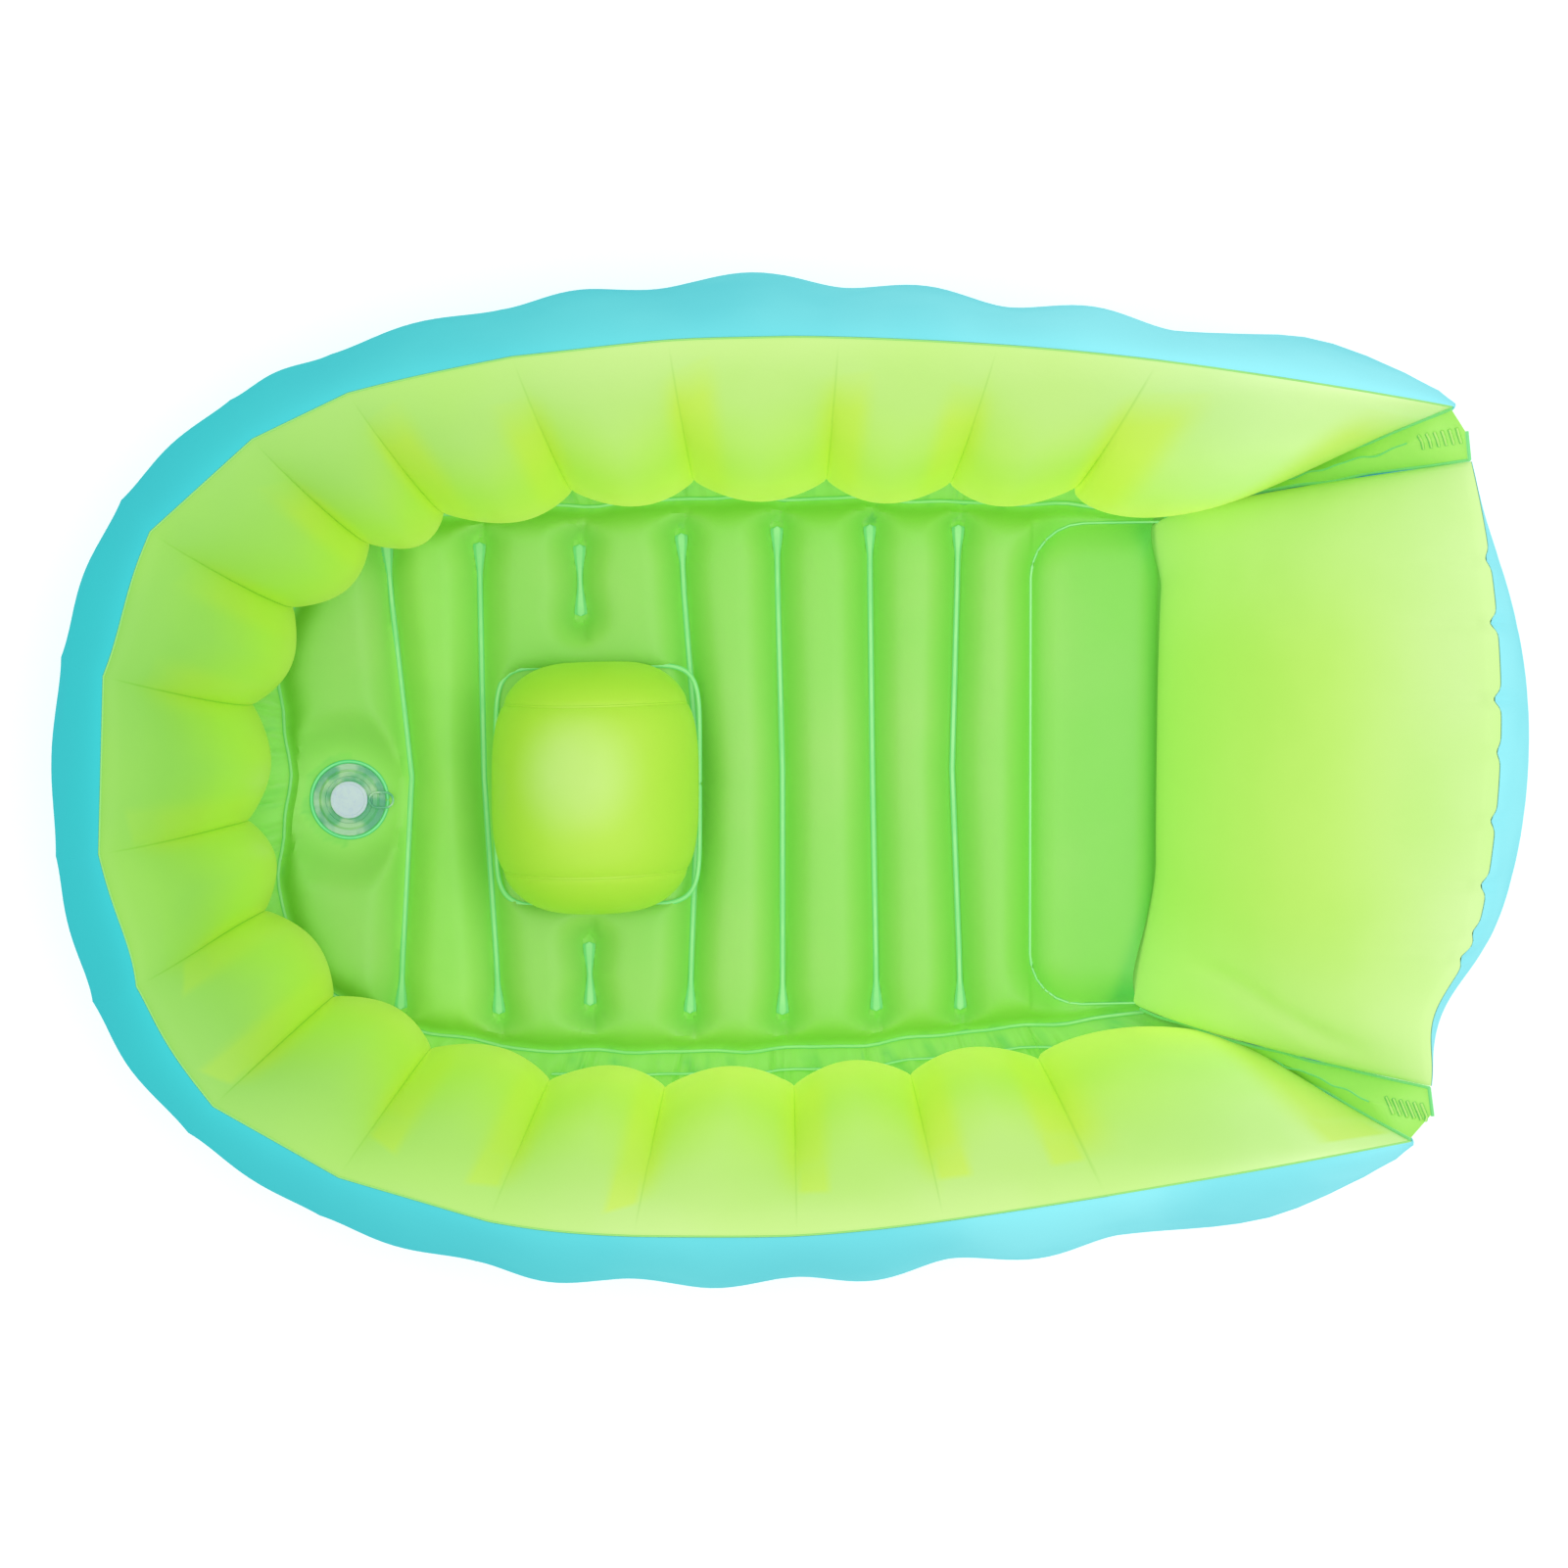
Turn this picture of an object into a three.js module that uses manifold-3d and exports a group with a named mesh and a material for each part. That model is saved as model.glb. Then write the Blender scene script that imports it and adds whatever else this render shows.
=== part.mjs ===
// A foldable, inflatable baby bathtub made of welded films: a lobed wall with inner webs, a quilted floor with
// a saddle horn, a backrest, two corner gussets, a drain and two air valves.
// Millimetres, +Z up. The origin is on the ground in the middle of the tub, and +X points to the backrest.
import * as THREE from "three";
import { mergeVertices } from "three/addons/utils/BufferGeometryUtils.js";
import Module from "manifold-3d";

const wasm = await Module();
wasm.setup();

// Film and welds. The heights of a weld's films are counted up from the ground.
const filmThickness = 0.4;
const weldGap = 0.3;
const filmPitch = filmThickness + weldGap;
const weldMargin = 4;
const baseLevel = filmThickness / 2;
const secondLevel = baseLevel + filmPitch;
const thirdLevel = secondLevel + filmPitch;

// Rim line, seen from above: a blunt nose in front and a slow taper behind.
const rimHeight = 280;
const rimFrontReach = 440;
const rimRearReach = 407;
const rimHalfWidth = 283;
const rimTaper = 52;
const rimRearHalfWidth = rimHalfWidth - rimTaper;
const rimRoundness = 2.6;
const rimTaperPower = 1.5;
const rimFrontShare = 0.5;
const rimDivisions = 600;

// Inner webs, placed by shares of the rim's length from the nose to the rear corner.
// Each web's plane aims at the tub's long axis, at a share of its own X.
const webArcShares = [0.054, 0.133, 0.233, 0.317, 0.417, 0.509, 0.61, 0.713, 0.812];
const webAimShare = 0.42;

// Section of the wall: reach is counted in from the rim line. The lobes hang over the inner film's foot.
const wallInnerReach = 88;
const wallInnerTuck = 38;
const wallTuckPower = 8;
const wallInnerFoot = wallInnerReach - wallInnerTuck;
const wallOuterFoot = 18;
const wallOuterBulge = 44;
const wallBulgeHeight = 130;
const wallRoundness = 1.75;
const innerLobeDepth = 16;
const outerLobeDepth = 8;
const lobeRoundness = 0.75;
const lobeSag = 2;
const wallRows = 8;
const innerLobeSteps = 4;
const outerLobeSteps = 4;

// Rear ends of the wall. Their foot stands a little behind the backrest's foot.
const backrestFootReach = 262;
const wallEndFootGap = 54;
const wallEndLean = 41;
const wallEndFootReach = backrestFootReach + wallEndFootGap;
const wallEndFootHalfWidth = rimRearHalfWidth - wallEndLean;
const wallEndRakePower = 1.7;
const endShoulderShare = 0.906;
const endCornerBulgeShare = 0.6;
const endFaceBulge = 8;
const innerEndSteps = 8;
const outerEndSteps = 12;

// Quilted floor: crosswise welds at an even pitch, then the seat panel before the backrest.
const floorPerimeter = 101;
const floorCornerReach = 33;
const floorCornerShare = 0.215;
const floorCornerSpreadShare = 0.13;
const floorCrown = 38;
const floorWeldLevel = 10;
const floorWeldStart = -262;
const floorWeldPitch = 64;
const floorWeldCount = 7;
const floorWeldEndGap = 17;
const floorPuffReach = 32;
const basePuffReach = 12;
const seatSeamReach = 170;
const seatSeamHalfLength = 127;
const seatCrown = 22;
const floorRowShares = [0, 0.16, 0.34, 0.52, 0.7, 0.87, 1];
const floorStepsPerTube = 4;
const seatSteps = 5;
const bisections = 40;

// Saddle horn.
const hornCentreX = -128;
const hornHalfLength = 70;
const hornHalfWidth = 86;
const hornTop = 150;
const hornRingLevel = 24;
const hornRingMargin = 15;
const hornRingPuffReach = 24;
const hornSeamShare = 0.66;
const hornTuckAngle = 0.45;
const hornRoundness = 2.6;
const hornSeamPinch = 2.5;
const hornPinchPower = 6;
const hornArchSteps = 14;
const hornCentreSteps = 8;
const hornEndSteps = 5;

// Backrest pillow.
const backrestFootSideGap = 30;
const backrestCornerSideGap = 34;
const backrestRearFootSideGap = 8;
const backrestCornerSetback = 15;
const backrestTopSweep = 29;
const backrestTopDrop = 10;
const backrestRearFootTuck = 5;
const backrestFootHalfWidth = wallEndFootHalfWidth - backrestFootSideGap;
const backrestCornerHalfWidth = rimRearHalfWidth - backrestCornerSideGap;
const backrestRearFootHalfWidth = wallEndFootHalfWidth - backrestRearFootSideGap;
const backrestCornerReach = rimRearReach + backrestCornerSetback;
const backrestTopReach = backrestCornerReach + backrestTopSweep;
const backrestTopHeight = rimHeight - backrestTopDrop;
const backrestRearFootReach = backrestTopReach - backrestRearFootTuck;
const backrestRearFootSweep = 16;
const backrestFrontBulge = 48;
const backrestRearBulge = 41;
const backrestSideBulge = 2;
const backrestFlarePower = 0.5;
const backrestRoundness = 2.6;
const backrestRearRoundness = 2.2;
const backrestFootFullness = 0.7;
const backrestRearFullness = 0.8;
const backrestSideStartShare = 0.04;
const backrestAcrossSteps = 14;
const backrestUpSteps = 12;
const backrestSideSteps = 7;
const backrestRearRows = 8;
const backrestFootSteps = 4;

// Rear corner gussets: folded strips between the wall's end and the backrest's side edge, down to near the floor.
const gussetFoot = 15;
const gussetFoldShare = 0.45;
const gussetEdgeGap = 1.2;
const gussetSteps = 12;

// Drain.
const drainX = -300;
const drainY = -17;
const drainFlangeRadius = 25;
const drainFlangeThickness = 1.2;
const drainNeckRadius = 20.5;
const drainBoreRadius = 11.4;
const drainCollarHeight = 2;
const drainFootHeight = 1;
const drainFlatRadius = 50;
const drainDiscRadius = 12.75;
const drainDiscThickness = 1.6;
const drainPegLength = 7;
const drainPlayAround = 0.4;
const drainLoopLength = 19;
const drainLoopWidth = 13;
const drainLoopBand = 2.6;
const drainSides = 28;

// Air valves, one in the outer wall film and one in the backrest's rear film.
const valveBoreRadius = 4;
const valveNeckRadius = 5.5;
const valveNeckLength = 12;
const valveFlangeRadius = 13;
const valveFlangeThickness = 1;
const valveFlapRadius = 4.8;
const valveFlapThickness = 0.6;
const valveCapRadius = 8;
const valveCapThickness = 2;
const valvePegRadius = 3.6;
const valvePegTaper = 0.5;
const valvePegLength = 8;
const valveStrapRadius = 2.6;
const valveStrapThickness = 0.9;
const valveStrapWidth = 4;
const valveStrapLap = 0.8;
const valveStrapSteps = 6;
const valveRoundSides = 20;
const wallValveLobe = 3;
const wallValveDownShare = 0.625;
const backrestValveDownShare = 0.75;
const cutterOverrun = 3;

const upward = new THREE.Vector3(0, 0, 1);
const quarterTurn = Math.PI / 2;

// Materials: soft satin vinyl, plus clear fittings.
const vinyl = (color) => new THREE.MeshStandardMaterial({ color, roughness: 0.38, metalness: 0 });
const outerBlue = vinyl(0x55d2da);
const innerLime = vinyl(0xb2e858);
const webClear = vinyl(0xd6ea9a);
const floorGreen = vinyl(0x86e05a);
const baseBlue = vinyl(0x4cc9d2);
const hornLime = vinyl(0xa6e33a);
const backrestLime = vinyl(0xb5f068);
const gussetGreen = vinyl(0x8beb6a);
const fittingClear = vinyl(0xbbdde3);

// An open surface of shared points and triangles, which a film's thickness then turns into a closed solid.
class Sheet {
  points = [];
  triangles = [];
  known = new Map();

  index(point) {
    const key = point.toArray().map((value) => Math.round(value * Sheet.grain)).join();
    if (!this.known.has(key)) {
      this.known.set(key, this.points.length);
      this.points.push(point.clone());
    }
    return this.known.get(key);
  }

  triangle(...corners) {
    const indices = corners.map((corner) => this.index(corner));
    if (new Set(indices).size === corners.length) this.triangles.push(indices);
  }

  // Joins each column of points to the next one.
  columns(columns) {
    for (let i = 1; i < columns.length; i++) {
      for (let j = 1; j < columns[i].length; j++) {
        const [a, b, c, d] = [columns[i - 1][j - 1], columns[i][j - 1], columns[i][j], columns[i - 1][j]];
        this.triangle(a, b, c);
        this.triangle(a, c, d);
      }
    }
    return this;
  }

  // Half the film's thickness goes to each side of the surface, and the borders are walled.
  film(thickness = filmThickness) {
    const middle = new THREE.BufferGeometry().setFromPoints(this.points);
    middle.setIndex(this.triangles.flat());
    middle.computeVertexNormals();
    const normals = middle.getAttribute("normal");
    const face = (side) =>
      this.points.map((point, i) => {
        const normal = new THREE.Vector3().fromBufferAttribute(normals, i);
        return point.clone().addScaledVector(normal, (side * thickness) / 2);
      });
    const count = this.points.length;
    const indices = this.triangles.flatMap(([a, b, c]) => [a, b, c, c + count, b + count, a + count]);
    const edges = this.triangles.flatMap(([a, b, c]) => [[a, b], [b, c], [c, a]]);
    const seen = new Set(edges.map(String));
    for (const [a, b] of edges) {
      if (!seen.has(String([b, a]))) indices.push(b, a, a + count, b, a + count, b + count);
    }
    const solid = new THREE.BufferGeometry().setFromPoints([...face(1), ...face(-1)]);
    return solid.setIndex(indices);
  }
}
Sheet.grain = 1000;

// Boolean joins and cuts of closed meshes.
function solidOf(geometry) {
  const bare = geometry.clone();
  bare.deleteAttribute("normal");
  bare.deleteAttribute("uv");
  const merged = mergeVertices(bare, 1 / Sheet.grain);
  const triVerts = new Uint32Array(merged.index.array);
  const vertProperties = new Float32Array(merged.getAttribute("position").array);
  return new wasm.Manifold(new wasm.Mesh({ numProp: 3, vertProperties, triVerts }));
}

function geometryOf(solid) {
  const mesh = solid.getMesh();
  const geometry = new THREE.BufferGeometry();
  geometry.setAttribute("position", new THREE.BufferAttribute(mesh.vertProperties, mesh.numProp));
  geometry.setIndex(new THREE.BufferAttribute(mesh.triVerts, 1));
  return geometry;
}

const cut = (geometry, tool) => geometryOf(solidOf(geometry).subtract(solidOf(tool)));
const join = (first, ...others) =>
  geometryOf(others.reduce((whole, other) => whole.add(solidOf(other)), solidOf(first)));

// A ring or a turned piece whose profile is given as radius and height, with +Z as its axis.
function turned(profile, sides = valveRoundSides) {
  const points = profile.map(([radius, height]) => new THREE.Vector2(radius, height));
  return new THREE.LatheGeometry(points, sides).rotateX(quarterTurn);
}

function disc(radius, low, high, sides) {
  return turned([[0, low], [radius, low], [radius, high], [0, high]], sides);
}

const steps = (count) => Array.from({ length: count + 1 }, (_, i) => i / count);
const mix = THREE.MathUtils.lerp;

// Half of the rim line, from the nose to the rear corner on the +Y side.
class RimLine extends THREE.Curve {
  getPoint(share, target = new THREE.Vector3()) {
    if (share < rimFrontShare) {
      const angle = (quarterTurn * share) / rimFrontShare;
      const x = -rimFrontReach * Math.cos(angle) ** (2 / rimRoundness);
      return target.set(x, rimHalfWidth * Math.sin(angle) ** (2 / rimRoundness), rimHeight);
    }
    const along = (share - rimFrontShare) / (1 - rimFrontShare);
    const y = rimHalfWidth - (rimHalfWidth - rimRearHalfWidth) * along ** rimTaperPower;
    return target.set(rimRearReach * along, y, rimHeight);
  }
}
const rimLine = new RimLine();
rimLine.arcLengthDivisions = rimDivisions;

// A station is an upright plane across the wall: a point of the rim and the way in from it.
function stationAt(arcShare, side) {
  const rim = rimLine.getPointAt(arcShare);
  const inward = new THREE.Vector3(webAimShare * rim.x - rim.x, -rim.y, 0).normalize();
  rim.y *= side;
  inward.y *= side;
  return { rim, inward };
}

function stationPoint(station, reach, height) {
  return station.rim.clone().addScaledVector(station.inward, reach).setZ(height);
}

const inPlan = (point) => new THREE.Vector2(point.x, point.y);

// The webs' stations in order round the tub, from the rear on the +Y side to the rear on the -Y side.
const webStations = [
  ...webArcShares.map((share) => stationAt(share, 1)).reverse(),
  ...webArcShares.map((share) => stationAt(share, -1)),
];

// Sections of the two wall films at a web: down runs from the rim seam, 0, to the foot, 1.
function innerSection(down) {
  const angle = down * quarterTurn;
  const reach = mix(filmPitch / 2, wallInnerReach, Math.sin(angle) ** (2 / wallRoundness));
  const height = mix(thirdLevel, rimHeight, Math.cos(angle) ** (2 / wallRoundness));
  return new THREE.Vector2(reach - wallInnerTuck * down ** wallTuckPower, height);
}

function outerSection(down) {
  const angle = Math.min(2 * down, 1) * quarterTurn;
  const lowAngle = Math.max(2 * down - 1, 0) * quarterTurn;
  if (lowAngle > 0) {
    const reach = mix(-wallOuterFoot, -wallOuterBulge, Math.cos(lowAngle));
    return new THREE.Vector2(reach, mix(wallBulgeHeight, secondLevel, Math.sin(lowAngle)));
  }
  const reach = mix(-filmPitch / 2, -wallOuterBulge, Math.sin(angle) ** (2 / wallRoundness));
  return new THREE.Vector2(reach, mix(wallBulgeHeight, rimHeight, Math.cos(angle) ** (2 / wallRoundness)));
}

// How deep a lobe is from the rim to the foot: on the inner film it sags low, on the outer one it is even.
const innerWall = {
  section: innerSection,
  facing: 1,
  depthAt: (down) => innerLobeDepth * Math.sin(Math.PI * down ** lobeSag) ** lobeRoundness,
};
const outerWall = {
  section: outerSection,
  facing: -1,
  depthAt: (down) => outerLobeDepth * Math.sin(Math.PI * down),
};

// The way out of the chamber, square to a section.
function sectionNormal(wall, down) {
  const small = 1 / rimDivisions;
  const ahead = wall.section(Math.min(down + small, 1));
  const behind = wall.section(Math.max(down - small, 0));
  const along = ahead.sub(behind).normalize();
  return new THREE.Vector2(-along.y * wall.facing, along.x * wall.facing);
}

// A point of a lobe, across from one station to the next.
function lobePoint(wall, from, to, across, down) {
  const place = wall.section(down);
  const point = stationPoint(from, place.x, place.y).lerp(stationPoint(to, place.x, place.y), across);
  const inward = from.inward.clone().lerp(to.inward, across).normalize();
  const push = wall.depthAt(down) * Math.sin(Math.PI * across) ** lobeRoundness;
  const normal = sectionNormal(wall, down);
  return point.addScaledVector(inward, push * normal.x).addScaledVector(upward, push * normal.y);
}

// The seam that ends the wall beside the backrest: it rakes forward and in on its way down.
function wallEnd(side, height) {
  const rise = (height / rimHeight) ** wallEndRakePower;
  const y = mix(wallEndFootHalfWidth, rimRearHalfWidth, rise);
  return new THREE.Vector3(mix(wallEndFootReach, rimRearReach, rise), side * y, height);
}

// Both wall films run from end to end: a rear end, the lobes between webs, and the other rear end.
function wallFilm(wall, endColumn, lobeSteps, endSteps, rows) {
  const columnsOf = (make, count) => steps(count).map((across) => steps(rows).map((down) => make(across, down)));
  const sheet = new Sheet();
  sheet.columns(columnsOf((across, down) => endColumn(1, 1 - across, down), endSteps));
  for (let i = 1; i < webStations.length; i++) {
    const make = (across, down) => lobePoint(wall, webStations[i - 1], webStations[i], across, down);
    sheet.columns(columnsOf(make, lobeSteps));
  }
  sheet.columns(columnsOf((across, down) => endColumn(-1, across, down), endSteps));
  return sheet.film();
}

// The last lobe of the inner film, from the last web, across 0, to the wall's end, across 1.
function innerEnd(side, across, down) {
  const place = innerSection(down);
  const station = stationAt(webArcShares.at(-1), side);
  const end = wallEnd(side, place.y);
  end.y -= (side * filmPitch) / 2;
  const point = stationPoint(station, place.x, place.y).lerp(end, across);
  const push = innerWall.depthAt(down) * Math.sin(Math.PI * across) ** lobeRoundness;
  return point.addScaledVector(station.inward, push);
}

// The outer film's last lobe goes on round the corner and closes the wall's end face.
function outerEnd(side, across, down) {
  const place = outerSection(down);
  const last = stationAt(webArcShares.at(-1), side);
  const shoulder = stationAt(endShoulderShare, side);
  const corner = stationAt(1, side);
  const cornerPoint = stationPoint(corner, place.x * endCornerBulgeShare, place.y);
  const end = wallEnd(side, place.y);
  const span = cornerPoint.distanceTo(end);
  const seam = end.clone().lerp(cornerPoint, span > filmPitch ? (2 * filmPitch) / span : 1);
  const faceBulge = endFaceBulge * Math.sin(Math.PI * down);
  const face = cornerPoint.clone().lerp(seam, 1 / 2);
  face.x += faceBulge / 2;
  face.y -= side * faceBulge;
  const path = new THREE.CatmullRomCurve3([
    stationPoint(last, place.x, place.y),
    stationPoint(shoulder, place.x - outerWall.depthAt(down), place.y),
    cornerPoint,
    face,
    seam,
  ]);
  return path.getPoint(across);
}

// A web is a flat plate in its station's plane. It stops a row short of the rim and of the ground, so air can pass.
function webMesh(station, name) {
  const edgeGap = filmThickness / 2 + weldGap;
  const rows = steps(wallRows).slice(1, -1);
  const edge = (wall) =>
    rows.map((down) => wall.section(down).addScaledVector(sectionNormal(wall, down), -edgeGap));
  const outline = new THREE.Shape([...edge(innerWall), ...edge(outerWall).reverse()]);
  const plate = new THREE.ExtrudeGeometry(outline, { depth: filmThickness, bevelEnabled: false });
  plate.translate(0, 0, -filmThickness / 2);
  const web = new THREE.Mesh(plate, webClear.clone());
  web.name = name;
  web.position.set(station.rim.x, station.rim.y, 0);
  const across = new THREE.Vector3().crossVectors(station.inward, upward);
  web.quaternion.setFromRotationMatrix(new THREE.Matrix4().makeBasis(station.inward, upward, across));
  return web;
}

// The perimeter weld on the +Y half, by its share of the rim's length. It runs nearer the rim at the blunt corner.
function perimeterPoint(arcShare) {
  const fromCorner = (arcShare - floorCornerShare) / floorCornerSpreadShare;
  const reach = floorPerimeter - floorCornerReach * Math.exp(-(fromCorner ** 2));
  return inPlan(stationPoint(stationAt(arcShare, 1), reach, 0));
}

// The share at which the perimeter weld first passes a test, from the nose to the rear.
function perimeterAt(passed) {
  let [low, high] = [0, 1];
  for (let i = 0; i < bisections; i++) {
    const middle = (low + high) / 2;
    if (passed(perimeterPoint(middle))) high = middle;
    else low = middle;
  }
  return high;
}

// The floor's columns from the first crosswise weld back: even steps over the tubes, then the seat panel's.
function floorColumnPlaces() {
  const lastWeld = floorWeldStart + (floorWeldCount - 1) * floorWeldPitch;
  const floorRear = backrestFootReach - weldMargin;
  return [
    ...steps((floorWeldCount - 1) * floorStepsPerTube).map((share) => mix(floorWeldStart, lastWeld, share)),
    ...steps(floorStepsPerTube).slice(1).map((share) => mix(lastWeld, seatSeamReach, share)),
    ...steps(seatSteps).slice(1).map((share) => mix(seatSeamReach, floorRear, share)),
  ];
}

// The perimeter weld's points on the +Y half: the front rows' ends, nose first, then the columns' ends.
const floorRows = [...floorRowShares.slice(1).map((share) => -share).reverse(), ...floorRowShares];
const floorColumns = floorColumnPlaces();
const columnArcs = floorColumns.map((x) => perimeterAt((point) => point.x > x));
const floorHalfWidth = perimeterPoint(columnArcs[0]).y;
const rowArcs = floorRowShares.slice(1, -1).map((share) => perimeterAt((point) => point.y > share * floorHalfWidth));
const floorArcs = [0, ...rowArcs, ...columnArcs];

const mirrored = (point) => new THREE.Vector2(point.x, -point.y);
const ringPoints = (arcs, reach) => arcs.map((arc) => inPlan(stationPoint(stationAt(arc, 1), reach, 0)));
const perimeter = floorArcs.map(perimeterPoint);

// A closed outline from its points on the +Y half, nose first, with any points of its rear edge.
const closedOutline = (half, rear = []) => [...half, ...rear, ...half.slice(1).map(mirrored).reverse()];

const rearCorner = perimeter.at(-1);
const rearRow = floorRows.map((share) => new THREE.Vector2(rearCorner.x, share * rearCorner.y));
const floorOutline = closedOutline(perimeter, rearRow.slice(1, -1).reverse());

function perimeterDistance(x, y) {
  const place = new THREE.Vector3(x, y, 0);
  const nearest = new THREE.Vector3();
  const away = floorOutline.map((from, i) => {
    const to = floorOutline[(i + 1) % floorOutline.length];
    const edge = new THREE.Line3(new THREE.Vector3(from.x, from.y, 0), new THREE.Vector3(to.x, to.y, 0));
    return edge.closestPointToPoint(place, true, nearest).distanceTo(place);
  });
  return Math.min(...away);
}

// How far a place on the floor is from each kind of weld, with that weld's level and the reach of its pull.
function floorWelds(x, y) {
  const beside = (value, half) => Math.max(Math.abs(value) - half, 0);
  const hornAway = Math.hypot(
    beside(x - hornCentreX, hornHalfLength + hornRingMargin),
    beside(y, hornHalfWidth + hornRingMargin),
  );
  const lineHalfLength = floorHalfWidth - floorWeldEndGap;
  const lineAways = Array.from({ length: floorWeldCount }, (_, i) =>
    Math.hypot(x - floorWeldStart - i * floorWeldPitch, beside(y, lineHalfLength)));
  const seatAway = Math.hypot(x - seatSeamReach, beside(y, seatSeamHalfLength));
  const drainAway = Math.max(Math.hypot(x - drainX, y - drainY) - drainFlatRadius, 0);
  return {
    horn: { away: hornAway, level: hornRingLevel, reach: hornRingPuffReach },
    drain: { away: drainAway, level: floorWeldLevel, reach: floorPuffReach },
    line: { away: Math.min(seatAway, ...lineAways), level: floorWeldLevel, reach: floorPuffReach },
    perimeter: { away: perimeterDistance(x, y), level: baseLevel, reach: floorPuffReach },
  };
}

const archShare = (share) => Math.sqrt(1 - (1 - Math.min(share, 1)) ** 2);

// The floor film puffs up to its crown, every weld pulls it down, and under the horn it is flat.
function floorHeight(x, y) {
  const welds = floorWelds(x, y);
  if (welds.horn.away === 0) return hornRingLevel;
  const crown = x > seatSeamReach ? seatCrown : floorCrown;
  return Math.min(...Object.values(welds).map(({ away, level, reach }) =>
    mix(level + filmPitch, crown, archShare(away / reach))));
}

// The base film lies on the ground and is lifted to the floor's welds.
function baseHeight(x, y) {
  const welds = floorWelds(x, y);
  if (welds.horn.away === 0) return baseLevel;
  const lifted = [welds.line, welds.drain].map(({ away, level }) =>
    mix(level, baseLevel, archShare(away / basePuffReach)));
  return mix(baseLevel, Math.max(...lifted), Math.min(welds.perimeter.away / basePuffReach, 1));
}

// A floor film: quilted inside the perimeter weld, and a flat margin out to a given outline.
function floorSheet(heightAt, flatLevel, marginOutline) {
  const flat = ({ x, y }) => new THREE.Vector3(x, y, flatLevel);
  const puffed = ({ x, y }) => new THREE.Vector3(x, y, heightAt(x, y));
  const lastRow = floorRows.length - 1;
  const nose = floorRows.map((share) => {
    const point = perimeter[floorRowShares.indexOf(Math.abs(share))];
    return share < 0 ? mirrored(point) : point;
  });
  const acrossAt = (end) => floorRows.map((share) => new THREE.Vector2(end.x, share * end.y));
  const firstWeld = acrossAt(perimeter[floorRowShares.length - 1]);
  const front = steps(floorStepsPerTube).map((along) => nose.map((edge, j) => edge.clone().lerp(firstWeld[j], along)));
  const rest = perimeter.slice(floorRowShares.length).map(acrossAt);
  const columns = [...front, ...rest].map((column, i, all) =>
    column.map((place, j) => {
      const onEdge = i === 0 || i === all.length - 1 || j === 0 || j === lastRow;
      return onEdge ? flat(place) : puffed(place);
    }));
  const sheet = new Sheet().columns(columns);
  const everyPoint = [...marginOutline, ...floorOutline];
  for (const corners of THREE.ShapeUtils.triangulateShape(marginOutline, [floorOutline])) {
    sheet.triangle(...corners.map((i) => flat(everyPoint[i])));
  }
  return sheet;
}

// The floor film's margin goes out to the wall's foot, and behind the last web to the foot of the wall's end.
function floorFilm() {
  const lastWeb = webArcShares.at(-1);
  const margin = ringPoints([...floorArcs.filter((arc) => arc < lastWeb), lastWeb], wallInnerFoot - weldMargin);
  const wallFoot = new THREE.Vector2(wallEndFootReach - weldMargin, wallEndFootHalfWidth);
  const rear = new THREE.Vector2(backrestFootReach, rearCorner.y);
  return floorSheet(floorHeight, secondLevel, closedOutline([...margin, wallFoot, rear])).film();
}

function baseFilm() {
  const corner = stationPoint(stationAt(1, 1), -wallOuterFoot * endCornerBulgeShare - weldMargin, 0);
  const rear = steps(backrestFootSteps).map((share) => backrestFoot(1 - share)).map((foot) =>
    new THREE.Vector2(foot.x + weldMargin, foot.y === 0 ? 0 : foot.y + weldMargin));
  const half = [...ringPoints(floorArcs, -wallOuterFoot - weldMargin), inPlan(corner), ...rear.slice(0, -1)];
  return floorSheet(baseHeight, baseLevel, closedOutline(half, rear.slice(-1))).film();
}

// Saddle horn: arches over the floor that shrink towards the ends, drawn in at the two seams.
const hornFoot = hornRingLevel + filmPitch;
function hornPoint(across, along) {
  const away = Math.abs(across);
  const scale = (1 - away ** hornRoundness) ** (1 / hornRoundness);
  const seamNear = away < hornSeamShare ? away / hornSeamShare : (1 - away) / (1 - hornSeamShare);
  const pinch = hornSeamPinch * seamNear ** hornPinchPower;
  const angle = mix(-hornTuckAngle, Math.PI + hornTuckAngle, along);
  const tuck = Math.sin(hornTuckAngle);
  const rise = (Math.sin(angle) + tuck) / (1 + tuck);
  return new THREE.Vector3(
    hornCentreX - (hornHalfLength * scale - pinch) * Math.cos(angle),
    across * hornHalfWidth,
    hornFoot + ((hornTop - hornFoot) * scale - pinch) * rise,
  );
}

function hornPanel(from, to, acrossSteps) {
  const columns = steps(acrossSteps).map((share) =>
    steps(hornArchSteps).map((along) => hornPoint(mix(from, to, share), along)));
  return new Sheet().columns(columns).film();
}

// Backrest: a wedge pillow. Its flat outline runs from the foot weld up to the rear top seam.
function backrestOutline(across, up) {
  const flare = up ** backrestFlarePower;
  return new THREE.Vector3(
    mix(backrestFootReach, mix(backrestTopReach, backrestCornerReach, across ** 2), up),
    across * mix(backrestFootHalfWidth, backrestCornerHalfWidth, flare),
    mix(thirdLevel, backrestTopHeight, up),
  );
}
const backrestFacing = new THREE.Vector3(
  thirdLevel - backrestTopHeight, 0, backrestTopReach - backrestFootReach).normalize();

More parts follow.
